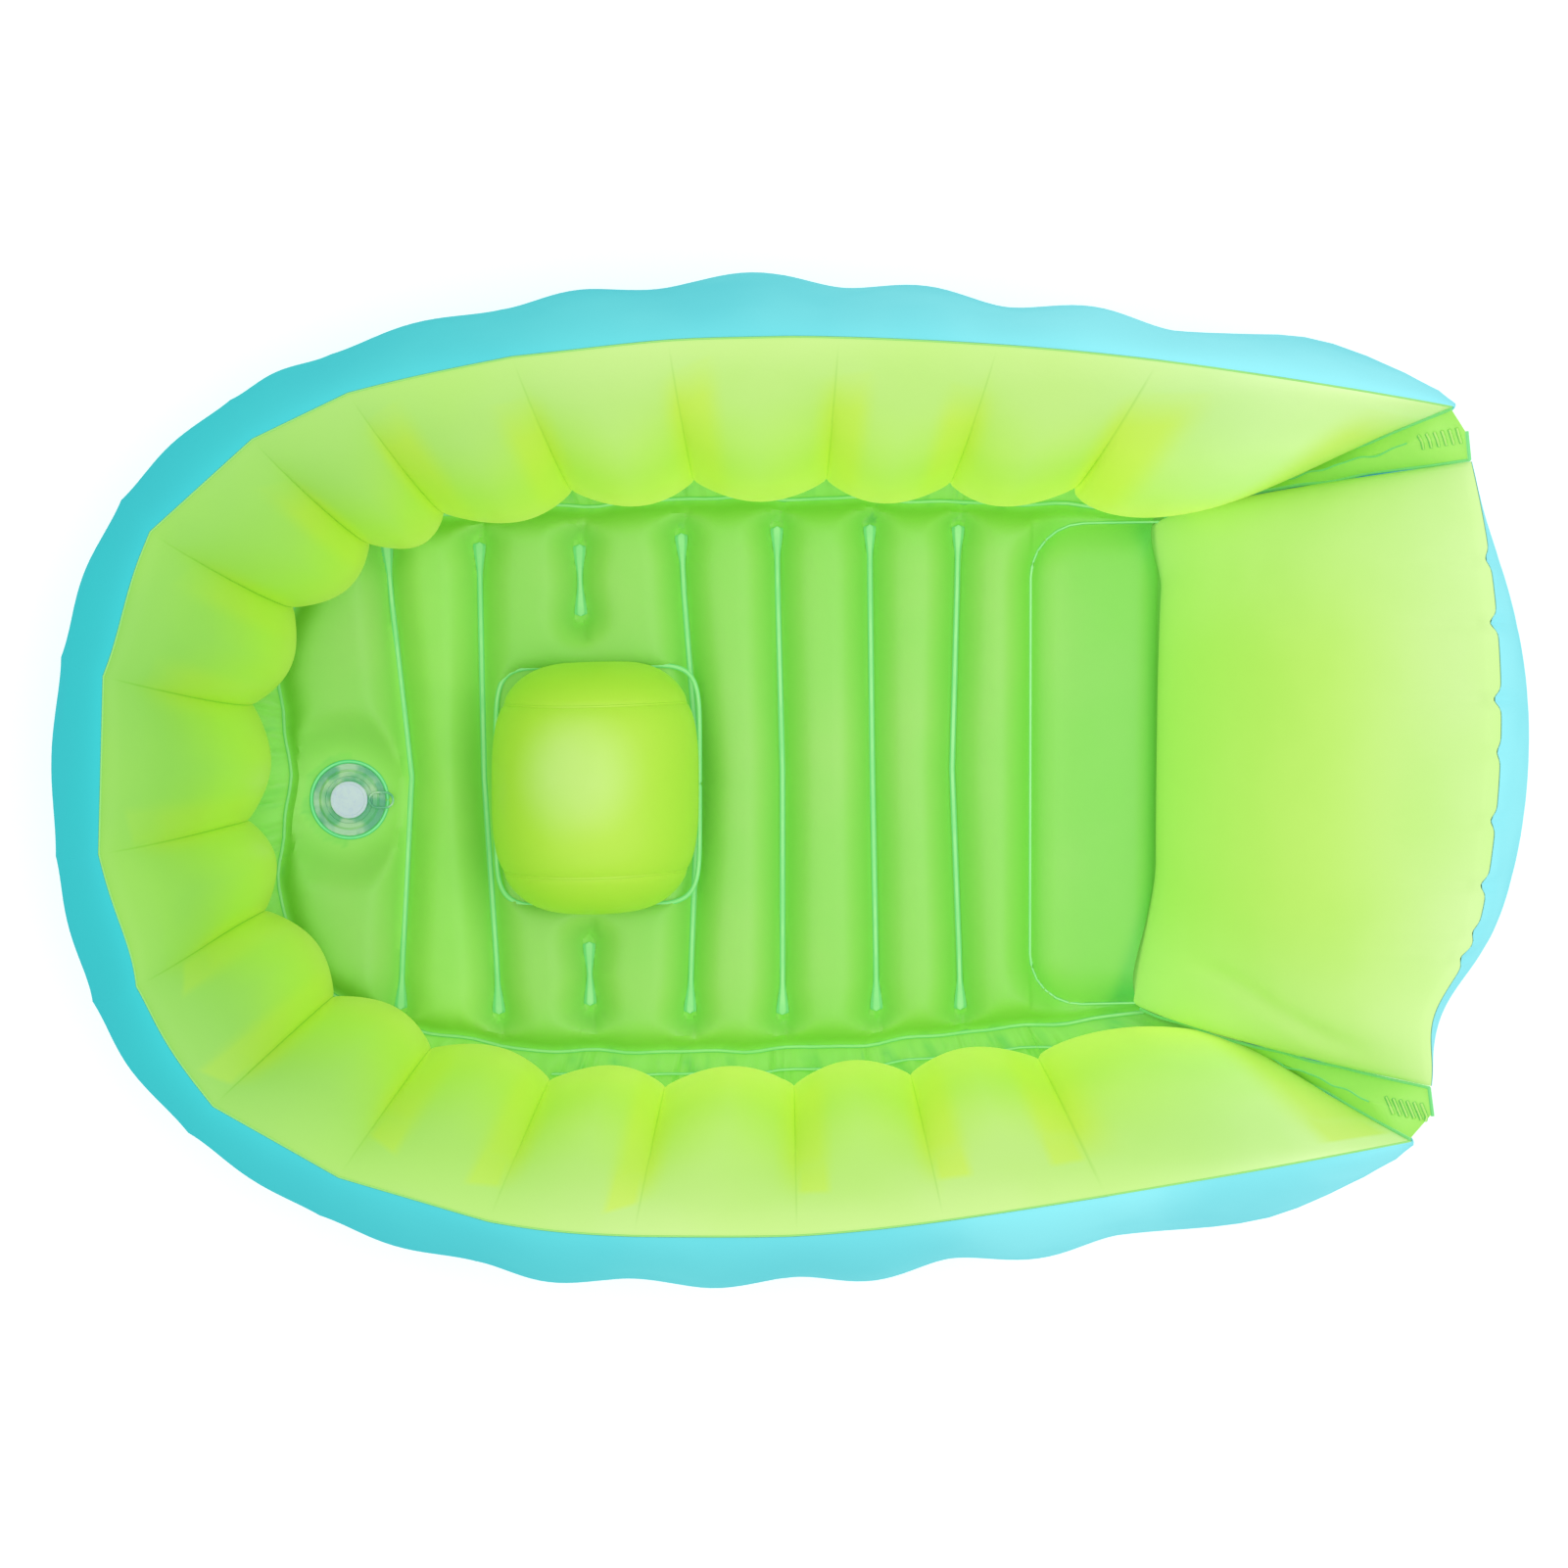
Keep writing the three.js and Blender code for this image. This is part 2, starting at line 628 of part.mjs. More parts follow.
function backrestFrontFilm() {
  const columns = steps(backrestAcrossSteps).map((share) =>
    steps(backrestUpSteps).map((up) => {
      const across = mix(1, -1, share);
      const crown = Math.sqrt(1 - Math.abs(across) ** backrestRoundness);
      const push = backrestFrontBulge * crown * Math.sin(Math.PI * up) ** backrestFootFullness;
      return backrestOutline(across, up).addScaledVector(backrestFacing, push);
    }));
  return new Sheet().columns(columns).film();
}

// The foot of the backrest's rear film, across the back.
function backrestFoot(across) {
  const x = backrestRearFootReach - backrestRearFootSweep * across ** 2;
  return new THREE.Vector3(x, across * backrestRearFootHalfWidth, secondLevel);
}

// The rear film goes up one side edge, along the top seam and down the other side edge.
function backrestSideColumn(side, up) {
  const corner = backrestFoot(side);
  const y = side * mix(backrestFootHalfWidth, backrestRearFootHalfWidth, up ** backrestFlarePower);
  const foot = new THREE.Vector3(mix(backrestFootReach, corner.x, up), y, secondLevel);
  return rearColumn(backrestOutline(side, up), foot, new THREE.Vector3(0, side * backrestSideBulge, 0));
}

function backrestBackColumn(across) {
  const push = backrestRearBulge * (1 - Math.abs(across) ** backrestRearRoundness);
  const sideways = backrestSideBulge * across ** 3;
  return rearColumn(backrestOutline(across, 1), backrestFoot(across), new THREE.Vector3(push, sideways, 0));
}

function rearColumn(top, foot, push) {
  const start = top.clone().addScaledVector(backrestFacing, -filmPitch);
  return steps(backrestRearRows).map((down) =>
    start.clone().lerp(foot, down).addScaledVector(push, Math.sin(Math.PI * down) ** backrestRearFullness));
}

function backrestRearFilm() {
  const sideSteps = steps(backrestSideSteps).map((share) => mix(backrestSideStartShare, 1, share));
  const backSteps = steps(backrestAcrossSteps).slice(1, -1);
  const columns = [
    ...sideSteps.map((up) => backrestSideColumn(1, up)),
    ...backSteps.map((share) => backrestBackColumn(mix(1, -1, share))),
    ...sideSteps.reverse().map((up) => backrestSideColumn(-1, up)),
  ];
  return new Sheet().columns(columns).film();
}

// A gusset is a strip from the wall's end to the backrest's side edge. Its middle is folded forward, least at the foot.
function gussetFilm(side) {
  const columns = steps(gussetSteps).map((down) => {
    const wall = wallEnd(side, mix(rimHeight - gussetEdgeGap, gussetFoot, down));
    const height = mix(backrestTopHeight - gussetEdgeGap, gussetFoot, down);
    const back = backrestOutline(side, (height - thirdLevel) / (backrestTopHeight - thirdLevel));
    wall.y -= side * gussetEdgeGap;
    back.y += side * gussetEdgeGap;
    const fold = wall.clone().lerp(back, 1 / 2);
    fold.x -= Math.abs(back.y - wall.y) * gussetFoldShare * (1 - down);
    return [wall, fold, back];
  });
  return new Sheet().columns(columns).film();
}

// A group whose +Z is the way out of a surface, at a point of it.
function fittingPlace(pointAt, first, second, outside) {
  const small = 1 / rimDivisions;
  const firstWay = pointAt(first + small, second).sub(pointAt(first - small, second));
  const secondWay = pointAt(first, second + small).sub(pointAt(first, second - small));
  const outward = firstWay.cross(secondWay).normalize();
  if (outward.dot(outside) < 0) outward.negate();
  const group = new THREE.Group();
  group.position.copy(pointAt(first, second));
  const sideways = new THREE.Vector3().crossVectors(upward, outward).normalize();
  const above = new THREE.Vector3().crossVectors(outward, sideways);
  group.quaternion.setFromRotationMatrix(new THREE.Matrix4().makeBasis(above, sideways.negate(), outward));
  group.updateMatrix();
  return group;
}

// An air valve pushed in flush: its flange lies on the film and its neck reaches into the chamber.
const valveFlangeLow = filmThickness / 2 + weldGap;
const valveFlangeTop = valveFlangeLow + valveFlangeThickness;
const valveHoleRadius = valveNeckRadius + weldGap;

function valveStem() {
  return turned([
    [valveBoreRadius, -valveNeckLength],
    [valveNeckRadius, -valveNeckLength],
    [valveNeckRadius, valveFlangeLow],
    [valveFlangeRadius, valveFlangeLow],
    [valveFlangeRadius, valveFlangeLow + valveFlangeThickness / 2],
    [valveFlangeRadius - valveFlangeThickness, valveFlangeTop],
    [valveBoreRadius, valveFlangeTop],
    [valveBoreRadius, -valveNeckLength],
  ]);
}

function valveFlap() {
  const high = -valveNeckLength - weldGap;
  return disc(valveFlapRadius, high - valveFlapThickness, high);
}

// The plug is a cap with a tapered peg and a small arched strap at its edge to pull it by.
function valvePlug() {
  const low = valveFlangeTop + weldGap;
  const high = low + valveCapThickness;
  const pegEnd = low - valvePegLength;
  const cap = turned([
    [0, pegEnd],
    [valvePegRadius - valvePegTaper, pegEnd],
    [valvePegRadius, low],
    [valveCapRadius, low],
    [valveCapRadius, high - valveCapThickness / 2],
    [valveCapRadius - valveCapThickness / 2, high],
    [0, high],
  ]);
  const arch = new THREE.Shape().absarc(0, 0, valveStrapRadius, 0, Math.PI, false);
  arch.absarc(0, 0, valveStrapRadius - valveStrapThickness, Math.PI, 0, true);
  const strap = new THREE.ExtrudeGeometry(arch, {
    depth: valveStrapWidth, bevelEnabled: false, curveSegments: valveStrapSteps });
  strap.translate(0, 0, -valveStrapWidth / 2).rotateX(quarterTurn);
  strap.translate(-valveCapRadius - valveStrapRadius + valveStrapLap, 0, low);
  return join(cap, strap);
}

function dressValve(group, prefix) {
  const pieces = { stem: valveStem(), flap: valveFlap(), plug: valvePlug() };
  for (const [piece, geometry] of Object.entries(pieces)) group.add(named(geometry, prefix + "_" + piece, fittingClear));
  return group;
}

// Drain: a ring welded through both floor films, and a plug with a pull loop.
const drainFlangeLow = floorWeldLevel + filmPitch + filmThickness / 2 + weldGap;
const drainFlangeTop = drainFlangeLow + drainFlangeThickness;
const drainCollarTop = drainFlangeTop + drainCollarHeight;

function drainRing() {
  return turned([
    [drainBoreRadius, drainFootHeight],
    [drainNeckRadius, drainFootHeight],
    [drainNeckRadius, drainFlangeLow],
    [drainFlangeRadius, drainFlangeLow],
    [drainFlangeRadius, drainFlangeTop],
    [drainNeckRadius, drainFlangeTop],
    [drainNeckRadius - drainCollarHeight / 2, drainCollarTop],
    [drainBoreRadius, drainCollarTop],
    [drainBoreRadius, drainFootHeight],
  ], drainSides);
}

function drainPlug() {
  const low = drainCollarTop + weldGap;
  const high = low + drainDiscThickness;
  const pegOuter = drainBoreRadius - drainPlayAround;
  const plug = turned([
    [0, low],
    [pegOuter - drainDiscThickness, low],
    [pegOuter - drainDiscThickness, low - drainPegLength],
    [pegOuter, low - drainPegLength],
    [pegOuter, low],
    [drainDiscRadius, low],
    [drainDiscRadius, high],
    [0, high],
  ], drainSides);
  const half = drainLoopWidth / 2;
  const outer = drainDiscRadius + drainLoopLength - half;
  const inner = drainDiscRadius + half;
  const loopShape = (radius) =>
    new THREE.Shape().absarc(outer, 0, radius, -quarterTurn, quarterTurn, false)
      .absarc(inner, 0, radius, quarterTurn, 3 * quarterTurn, false);
  const loop = loopShape(half);
  loop.holes.push(loopShape(half - drainLoopBand));
  const options = { depth: drainDiscThickness, bevelEnabled: false, curveSegments: valveStrapSteps };
  const band = new THREE.ExtrudeGeometry(loop, options).translate(0, 0, low);
  const tab = new THREE.BoxGeometry(2 * drainLoopBand, 2 * drainLoopBand, drainDiscThickness);
  tab.translate(drainDiscRadius, 0, (low + high) / 2);
  return join(plug, band, tab);
}

function named(geometry, name, material) {
  const mesh = new THREE.Mesh(geometry, material.clone());
  mesh.name = name;
  return mesh;
}

// The whole tub.
const bathtub = new THREE.Group();
const add = (geometry, name, material) => bathtub.add(named(geometry, name, material));

const [valveFrom, valveTo] = webStations.slice(-wallValveLobe - 1).slice(0, 2);
const wallPlace = (across, down) => lobePoint(outerWall, valveFrom, valveTo, across, down);
const wallValve = fittingPlace(wallPlace, 1 / 2, wallValveDownShare, valveFrom.inward.clone().negate());
const backPlace = (share, down) => {
  const column = backrestBackColumn(mix(1, -1, share));
  const at = down * backrestRearRows;
  const below = Math.min(Math.floor(at), backrestRearRows - 1);
  return column[below].clone().lerp(column[below + 1], at - below);
};
const backrestValve = fittingPlace(backPlace, 1 / 2, backrestValveDownShare, backrestFacing.clone().negate());
const valveHole = (group) => disc(valveHoleRadius, -cutterOverrun, cutterOverrun).applyMatrix4(group.matrix);
const drainHole = disc(drainNeckRadius + weldGap, 0, drainCollarTop, drainSides).translate(drainX, drainY, -cutterOverrun);

add(cut(wallFilm(outerWall, outerEnd, outerLobeSteps, outerEndSteps, wallRows), valveHole(wallValve)),
  "outer_wall_film", outerBlue);
add(wallFilm(innerWall, innerEnd, innerLobeSteps, innerEndSteps, wallRows), "inner_wall_film", innerLime);
webStations.forEach((station, i) => bathtub.add(webMesh(station, "wall_web_" + String(i + 1).padStart(2, "0"))));
add(cut(baseFilm(), drainHole), "base_film", baseBlue);
add(cut(floorFilm(), drainHole), "floor_film", floorGreen);

const seamHalf = filmPitch / 2 / hornHalfWidth;
add(hornPanel(-hornSeamShare + seamHalf, hornSeamShare - seamHalf, hornCentreSteps), "horn_centre_panel", hornLime);
add(hornPanel(hornSeamShare + seamHalf, 1, hornEndSteps), "horn_left_panel", hornLime);
add(hornPanel(-1, -hornSeamShare - seamHalf, hornEndSteps), "horn_right_panel", hornLime);

add(backrestFrontFilm(), "backrest_front_film", backrestLime);
add(cut(backrestRearFilm(), valveHole(backrestValve)), "backrest_rear_film", outerBlue);
add(gussetFilm(1), "left_corner_gusset", gussetGreen);
add(gussetFilm(-1), "right_corner_gusset", gussetGreen);

const drain = new THREE.Group();
drain.position.set(drainX, drainY, 0);
drain.add(named(drainRing(), "drain_ring", fittingClear), named(drainPlug(), "drain_plug", fittingClear));
bathtub.add(drain, dressValve(wallValve, "wall_valve"), dressValve(backrestValve, "backrest_valve"));

export default bathtub;
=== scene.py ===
import math
import bpy
import bmesh
import numpy as np
from mathutils import Matrix, Vector


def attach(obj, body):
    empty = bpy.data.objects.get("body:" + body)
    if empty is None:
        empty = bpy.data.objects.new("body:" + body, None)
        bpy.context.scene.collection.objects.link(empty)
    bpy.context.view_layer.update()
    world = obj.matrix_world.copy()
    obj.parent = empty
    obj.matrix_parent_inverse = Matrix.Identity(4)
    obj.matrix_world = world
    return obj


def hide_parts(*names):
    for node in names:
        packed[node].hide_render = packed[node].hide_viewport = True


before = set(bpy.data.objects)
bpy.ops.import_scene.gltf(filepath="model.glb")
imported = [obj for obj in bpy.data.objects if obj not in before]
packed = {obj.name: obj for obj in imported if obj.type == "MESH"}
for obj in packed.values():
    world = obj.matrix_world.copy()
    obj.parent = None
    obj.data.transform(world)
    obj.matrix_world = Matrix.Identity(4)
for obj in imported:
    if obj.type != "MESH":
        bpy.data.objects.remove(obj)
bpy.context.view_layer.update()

film = {
    "thickness": 0.0004,
    "pitch": 0.0007,        # from one welded film's middle to the next one's
    "edgeShare": 0.001,     # points this near to a sheet's edge, in shares, are held down
    "baseLevel": 0.0002,
    "secondLevel": 0.0009,
    "thirdLevel": 0.0016,
}


def mix(start, end, share):
    return start + (end - start) * share


def smooth(low, high, value):
    share = np.clip((value - low) / (high - low), 0, 1)
    return share * share * (3 - 2 * share)


def fall(low, high, value):
    return 1 - smooth(low, high, value)


def bell(value, middle, half):
    return np.exp(-((value - middle) / half) ** 2)


waveHeights, waveRates, wavePhases = (1, 0.7, 0.5), (1, 0.618, 1.733), (1, 2.4, 3.9)


def wander(value, pitch, seed):
    # a soft irregular wave of about the given pitch, the same in each run
    turn = 2 * math.pi * value / pitch
    waves = zip(waveHeights, waveRates, wavePhases)
    total = sum(height * np.sin(rate * turn + phase * seed) for height, rate, phase in waves)
    return total / sum(waveHeights)


# The real tub isn't quite true: its backrest end is turned and pushed to the left a little, and the rim's
# nose is flatter than a true oval, most of all on the right.
lean = {
    "push": 0.0085,
    "pushRange": (-0.04, 0.27),
    "dip": 0.003,
    "dipAt": -0.15,
    "dipHalf": 0.07,
    "turnShare": 0.052,
    "turnRange": (0.2, 0.42),
    "blunt": 0.0078,
    "bluntLeft": (0.07, 0.15),
    "bluntRight": (0.12, 0.19),
    "bluntMore": 0.005,
    "bluntMoreAt": -0.11,
    "bluntMoreHalf": 0.035,
    "noseRange": (-0.43, -0.33),
    "rimRange": (0.1, 0.25),
}


def asideAt(x):
    dip = lean["dip"] * bell(x, lean["dipAt"], lean["dipHalf"])
    return lean["push"] * smooth(*lean["pushRange"], x) - dip


def turnedAt(x, y):
    return lean["turnShare"] * y * smooth(*lean["turnRange"], x)


def settle(x, y, z):
    blunt = lean["blunt"] * fall(*lean["bluntLeft"], y) * fall(*lean["bluntRight"], -y)
    blunt = blunt + lean["bluntMore"] * bell(y, lean["bluntMoreAt"], lean["bluntMoreHalf"])
    blunt = blunt * fall(*lean["noseRange"], x) * smooth(*lean["rimRange"], z)
    return x + turnedAt(x, y) + blunt, y + asideAt(x), z


# Camera and stage

photo = {
    "side": 1601,            # the photo is this many pixels wide and high
    "focalPixels": 4422,
    "sensor": 36.0,
    "height": 3.0,           # of the lens above the floor
    "lean": 0.095,           # the lens stands a little to the left of the long axis
    "leanLevel": 0.195,      # and looks at the axis at this height
    "clipEnd": 20,
}


def setCamera():
    data = bpy.data.cameras.new("overheadCamera")
    data.sensor_width = photo["sensor"]
    data.lens = photo["focalPixels"] / photo["side"] * photo["sensor"]
    data.clip_end = photo["clipEnd"]
    camera = bpy.data.objects.new("overheadCamera", data)
    bpy.context.scene.collection.objects.link(camera)
    camera.location = (0, photo["lean"], photo["height"])
    camera.rotation_euler = (-math.atan2(photo["lean"], photo["height"] - photo["leanLevel"]), 0, 0)
    bpy.context.scene.camera = camera


studio = {
    "worldStrength": 0.96,
    "lampPlace": (0.9, 0.0, 2.6),
    "lampAim": (0.0, 0.0, 0.1),
    "lampSide": 1.6,
    "lampWatts": 10,
    "floorSide": 9.0,
    "floorDrop": 0.0006,
    "floorPaint": (0.86, 0.86, 0.86, 1),
    "floorRoughness": 0.9,
    "floorSpecular": 0.1,
    "floorGlow": 0.38,       # only for the lens, so that the floor looks white and keeps its shadow
}


def setLamp():
    data = bpy.data.lights.new("overhead", "AREA")
    data.shape = "SQUARE"
    data.size = studio["lampSide"]
    data.energy = studio["lampWatts"]
    lamp = bpy.data.objects.new("overhead", data)
    lamp.location = studio["lampPlace"]
    way = Vector(studio["lampAim"]) - Vector(studio["lampPlace"])
    lamp.rotation_euler = way.to_track_quat("-Z", "Y").to_euler()
    bpy.context.scene.collection.objects.link(lamp)


def mathNode(tree, operation, first, second=None, third=None, clamp=False):
    node = tree.nodes.new("ShaderNodeMath")
    node.operation = operation
    node.use_clamp = clamp
    for socket, value in zip(node.inputs, (first, second, third)):
        if isinstance(value, bpy.types.NodeSocket):
            tree.links.new(value, socket)
        elif value is not None:
            socket.default_value = value
    return node.outputs[0]


def product(tree, first, *others):
    for value in others:
        first = mathNode(tree, "MULTIPLY", first, value)
    return first


def cameraOrMirror(tree):
    # 1 for what the lens sees, straight or through gloss and glass
    path = tree.nodes.new("ShaderNodeLightPath")
    total = mathNode(tree, "ADD", path.outputs["Is Camera Ray"], path.outputs["Is Glossy Ray"])
    return mathNode(tree, "ADD", total, path.outputs["Is Transmission Ray"], clamp=True)


def setWorld():
    world = bpy.data.worlds.new("paleStudio")
    bpy.context.scene.world = world
    world.use_nodes = True
    tree = world.node_tree
    background = tree.nodes["Background"]
    background.inputs["Color"].default_value = (1, 1, 1, 1)
    seen = cameraOrMirror(tree)
    strength = mathNode(tree, "MULTIPLY_ADD", seen, 1 - studio["worldStrength"], studio["worldStrength"])
    tree.links.new(strength, background.inputs["Strength"])


def newMaterial(name):
    material = bpy.data.materials.new(name)
    material.use_nodes = True
    return material, material.node_tree, material.node_tree.nodes["Principled BSDF"]


def setFloor():
    bpy.ops.object.select_all(action="DESELECT")
    bpy.ops.mesh.primitive_plane_add(size=studio["floorSide"], location=(0, 0, -studio["floorDrop"]))
    floor = bpy.context.object
    floor.name = "studioFloor"
    material, tree, shader = newMaterial("paleFloor")
    shader.inputs["Base Color"].default_value = studio["floorPaint"]
    shader.inputs["Roughness"].default_value = studio["floorRoughness"]
    shader.inputs["Specular IOR Level"].default_value = studio["floorSpecular"]
    shader.inputs["Emission Color"].default_value = (1, 1, 1, 1)
    glow = product(tree, cameraOrMirror(tree), studio["floorGlow"])
    tree.links.new(glow, shader.inputs["Emission Strength"])
    floor.data.materials.append(material)


setCamera()
setLamp()
setWorld()
setFloor()
bpy.context.scene.view_settings.view_transform = "Standard"
print("camera, lamp and floor are set")


# Materials

def paint(red, green, blue):
    # a colour as it is measured on a screen, 0 to 255, made linear
    channels = [value / 255 for value in (red, green, blue)]
    linear = [value / 12.92 if value <= 0.04045 else ((value + 0.055) / 1.055) ** 2.4 for value in channels]
    return (*linear, 1)


def mixNode(tree, share, first, second):
    node = tree.nodes.new("ShaderNodeMix")
    node.data_type = "RGBA"
    for socket, value in ((node.inputs[0], share), (node.inputs[6], first), (node.inputs[7], second)):
        if isinstance(value, bpy.types.NodeSocket):
            tree.links.new(value, socket)
        else:
            socket.default_value = value
    return node.outputs[2]


def rangeNode(tree, value, low, high, start=0.0, end=1.0):
    node = tree.nodes.new("ShaderNodeMapRange")
    node.interpolation_type = "SMOOTHSTEP"
    tree.links.new(value, node.inputs["Value"])
    for name, number in (("From Min", low), ("From Max", high), ("To Min", start), ("To Max", end)):
        node.inputs[name].default_value = number
    return node.outputs["Result"]


def noiseNode(tree, vector, scale, detail=2.0):
    node = tree.nodes.new("ShaderNodeTexNoise")
    node.inputs["Detail"].default_value = detail
    tree.links.new(vector, node.inputs["Vector"])
    if isinstance(scale, bpy.types.NodeSocket):
        tree.links.new(scale, node.inputs["Scale"])
    else:
        node.inputs["Scale"].default_value = scale
    return node.outputs["Fac"]


vinylFinish = {
    "cloudDetail": 3.0,
    "cloudRange": (0.3, 0.7),
    "cloudSatin": 0.1,       # how far the clouds and the grain change the roughness
    "grainDetail": 1.0,
    "grainSatin": 0.05,
    "bumpStrength": 0.12,
    "bumpDistance": 0.0002,
    "ior": 1.5,
    "specular": 0.22,
}
skinInputs = ("Film", "Clouded", "Cloud Scale", "Cloud Share", "Grain Scale", "Satin")


def makeVinylSkin():
    # soft vinyl film: clouded tint, a satin skin that varies a little, and a fine embossed grain
    group = bpy.data.node_groups.new("vinylSkin", "ShaderNodeTree")
    for way, names in (("INPUT", skinInputs), ("OUTPUT", ("Color", "Roughness", "Height"))):
        for name in names:
            kind = "NodeSocketColor" if name in ("Film", "Clouded", "Color") else "NodeSocketFloat"
            group.interface.new_socket(name=name, in_out=way, socket_type=kind)
    given = group.nodes.new("NodeGroupInput").outputs
    result = group.nodes.new("NodeGroupOutput").inputs
    place = group.nodes.new("ShaderNodeTexCoord").outputs["Object"]
    cloud = noiseNode(group, place, given["Cloud Scale"], vinylFinish["cloudDetail"])
    cloudShare = product(group, rangeNode(group, cloud, *vinylFinish["cloudRange"]), given["Cloud Share"])
    grain = noiseNode(group, place, given["Grain Scale"], vinylFinish["grainDetail"])
    satin = mathNode(group, "MULTIPLY_ADD", cloud, vinylFinish["cloudSatin"], given["Satin"])
    satin = mathNode(group, "MULTIPLY_ADD", grain, vinylFinish["grainSatin"], satin)
    group.links.new(mixNode(group, cloudShare, given["Film"], given["Clouded"]), result["Color"])
    group.links.new(satin, result["Roughness"])
    group.links.new(grain, result["Height"])
    return group


vinylSkin = makeVinylSkin()

vinyls = {
    # name: film colour, or none where the material mixes its own, clouded colour, cloud scale, cloud share,
    # grain scale, satin
    "outerBlue": (None, paint(72, 198, 210), 6, 0.35, 900, 0.27),
    "wallLime": (None, paint(176, 234, 88), 7, 0.3, 900, 0.3),
    "quiltGreen": (None, paint(134, 222, 92), 9, 0.35, 900, 0.3),
    "baseBlue": (paint(80, 204, 214), paint(66, 190, 202), 6, 0.35, 900, 0.32),
    "hornLime": (None, paint(180, 232, 74), 12, 0.3, 900, 0.3),
    "pillowLime": (None, paint(176, 236, 90), 7, 0.3, 900, 0.3),
    "gussetGreen": (paint(182, 244, 120), paint(166, 240, 110), 14, 0.5, 900, 0.3),
    "weldTeal": (paint(140, 220, 132), paint(122, 214, 136), 40, 0.5, 700, 0.24),
    "rimBead": (paint(152, 224, 140), paint(128, 216, 138), 30, 0.4, 700, 0.26),
    "rimEdge": (paint(158, 226, 126), paint(148, 222, 122), 30, 0.4, 700, 0.26),
    "barPale": (paint(190, 238, 130), paint(182, 234, 126), 30, 0.4, 700, 0.26),
    "barRim": (paint(120, 212, 104), paint(112, 206, 100), 30, 0.4, 700, 0.26),
    "drainTeal": (paint(92, 214, 150), paint(78, 206, 146), 60, 0.4, 700, 0.26),
}


def addGlow(tree, shader, tint, mask, strength):
    # painted light: where the mask is above 0 the film glows, standing in for daylight that comes through it
    # from the other side and lifting its shade
    tree.links.new(mixNode(tree, mask, (0, 0, 0, 1), tint), shader.inputs["Emission Color"])
    shader.inputs["Emission Strength"].default_value = strength


def vinylMaterial(name):
    material, tree, shader = newMaterial(name)
    skin = tree.nodes.new("ShaderNodeGroup")
    skin.node_tree = vinylSkin
    for socketName, value in zip(skinInputs, vinyls[name]):
        if value is not None:
            skin.inputs[socketName].default_value = value
    bump = tree.nodes.new("ShaderNodeBump")
    bump.inputs["Strength"].default_value = vinylFinish["bumpStrength"]
    bump.inputs["Distance"].default_value = vinylFinish["bumpDistance"]
    tree.links.new(skin.outputs["Height"], bump.inputs["Height"])
    tree.links.new(bump.outputs["Normal"], shader.inputs["Normal"])
    tree.links.new(skin.outputs["Color"], shader.inputs["Base Color"])
    tree.links.new(skin.outputs["Roughness"], shader.inputs["Roughness"])
    shader.inputs["IOR"].default_value = vinylFinish["ior"]
    shader.inputs["Specular IOR Level"].default_value = vinylFinish["specular"]
    return material, tree, skin, shader


def axes(tree, kind):
    # the parts of a point's place in the object, or on its UV map
    split = tree.nodes.new("ShaderNodeSeparateXYZ")
    tree.links.new(tree.nodes.new("ShaderNodeTexCoord").outputs[kind], split.inputs[0])
    return split.outputs


def tinted(tree, tint, value, colours, name):
    # the tint turns to the named colour where the value is in that colour's range
    return mixNode(tree, rangeNode(tree, value, *colours[name + "Range"]), tint, colours[name])


def attributeNode(tree, name):
    node = tree.nodes.new("ShaderNodeAttribute")
    node.attribute_name = name
    return node.outputs["Fac"]


outerTint = {
    # painted shade towards the nose and painted light towards the rear, over the film's blue
    "nose": paint(62, 206, 210),
    "rear": paint(154, 240, 248),
    "rearRange": (-0.48, 0.42),
    "specular": 0.0,
}


def makeOuterBlue():
    # painted light: the film is painted darker towards the nose, as painted shade, and paler towards the
    # rear, as if lit from there
    material, tree, skin, shader = vinylMaterial("outerBlue")
    tint = tinted(tree, outerTint["nose"], axes(tree, "Object")["X"], outerTint, "rear")
    tree.links.new(tint, skin.inputs["Film"])
    shader.inputs["Specular IOR Level"].default_value = outerTint["specular"]
    return material


webTab = {
    "seed": 7.3,
    "lean": 0.13,            # to either side of the crease, in shares of a lobe
    "half": 0.14,
    "top": 0.14,
    "topChance": 0.12,
    "slant": 0.4,
    "slantChance": -0.8,
    "sideSharpness": 16,
    "topSharpness": 40,
    "flapFade": (0.26, 0.5, 0.55, 0),
    "leftWallFade": (-0.12, 0.1, 1, 0.25),
    "bandLean": -0.6,
    "bandRange": (0.07, 0.24, 1, 0),
    "bandSharpness": 6,
    "bandFade": (0.6, 0.95, 0.6, 0),
    "noseFade": (-0.44, -0.24, 0.4, 1),
}


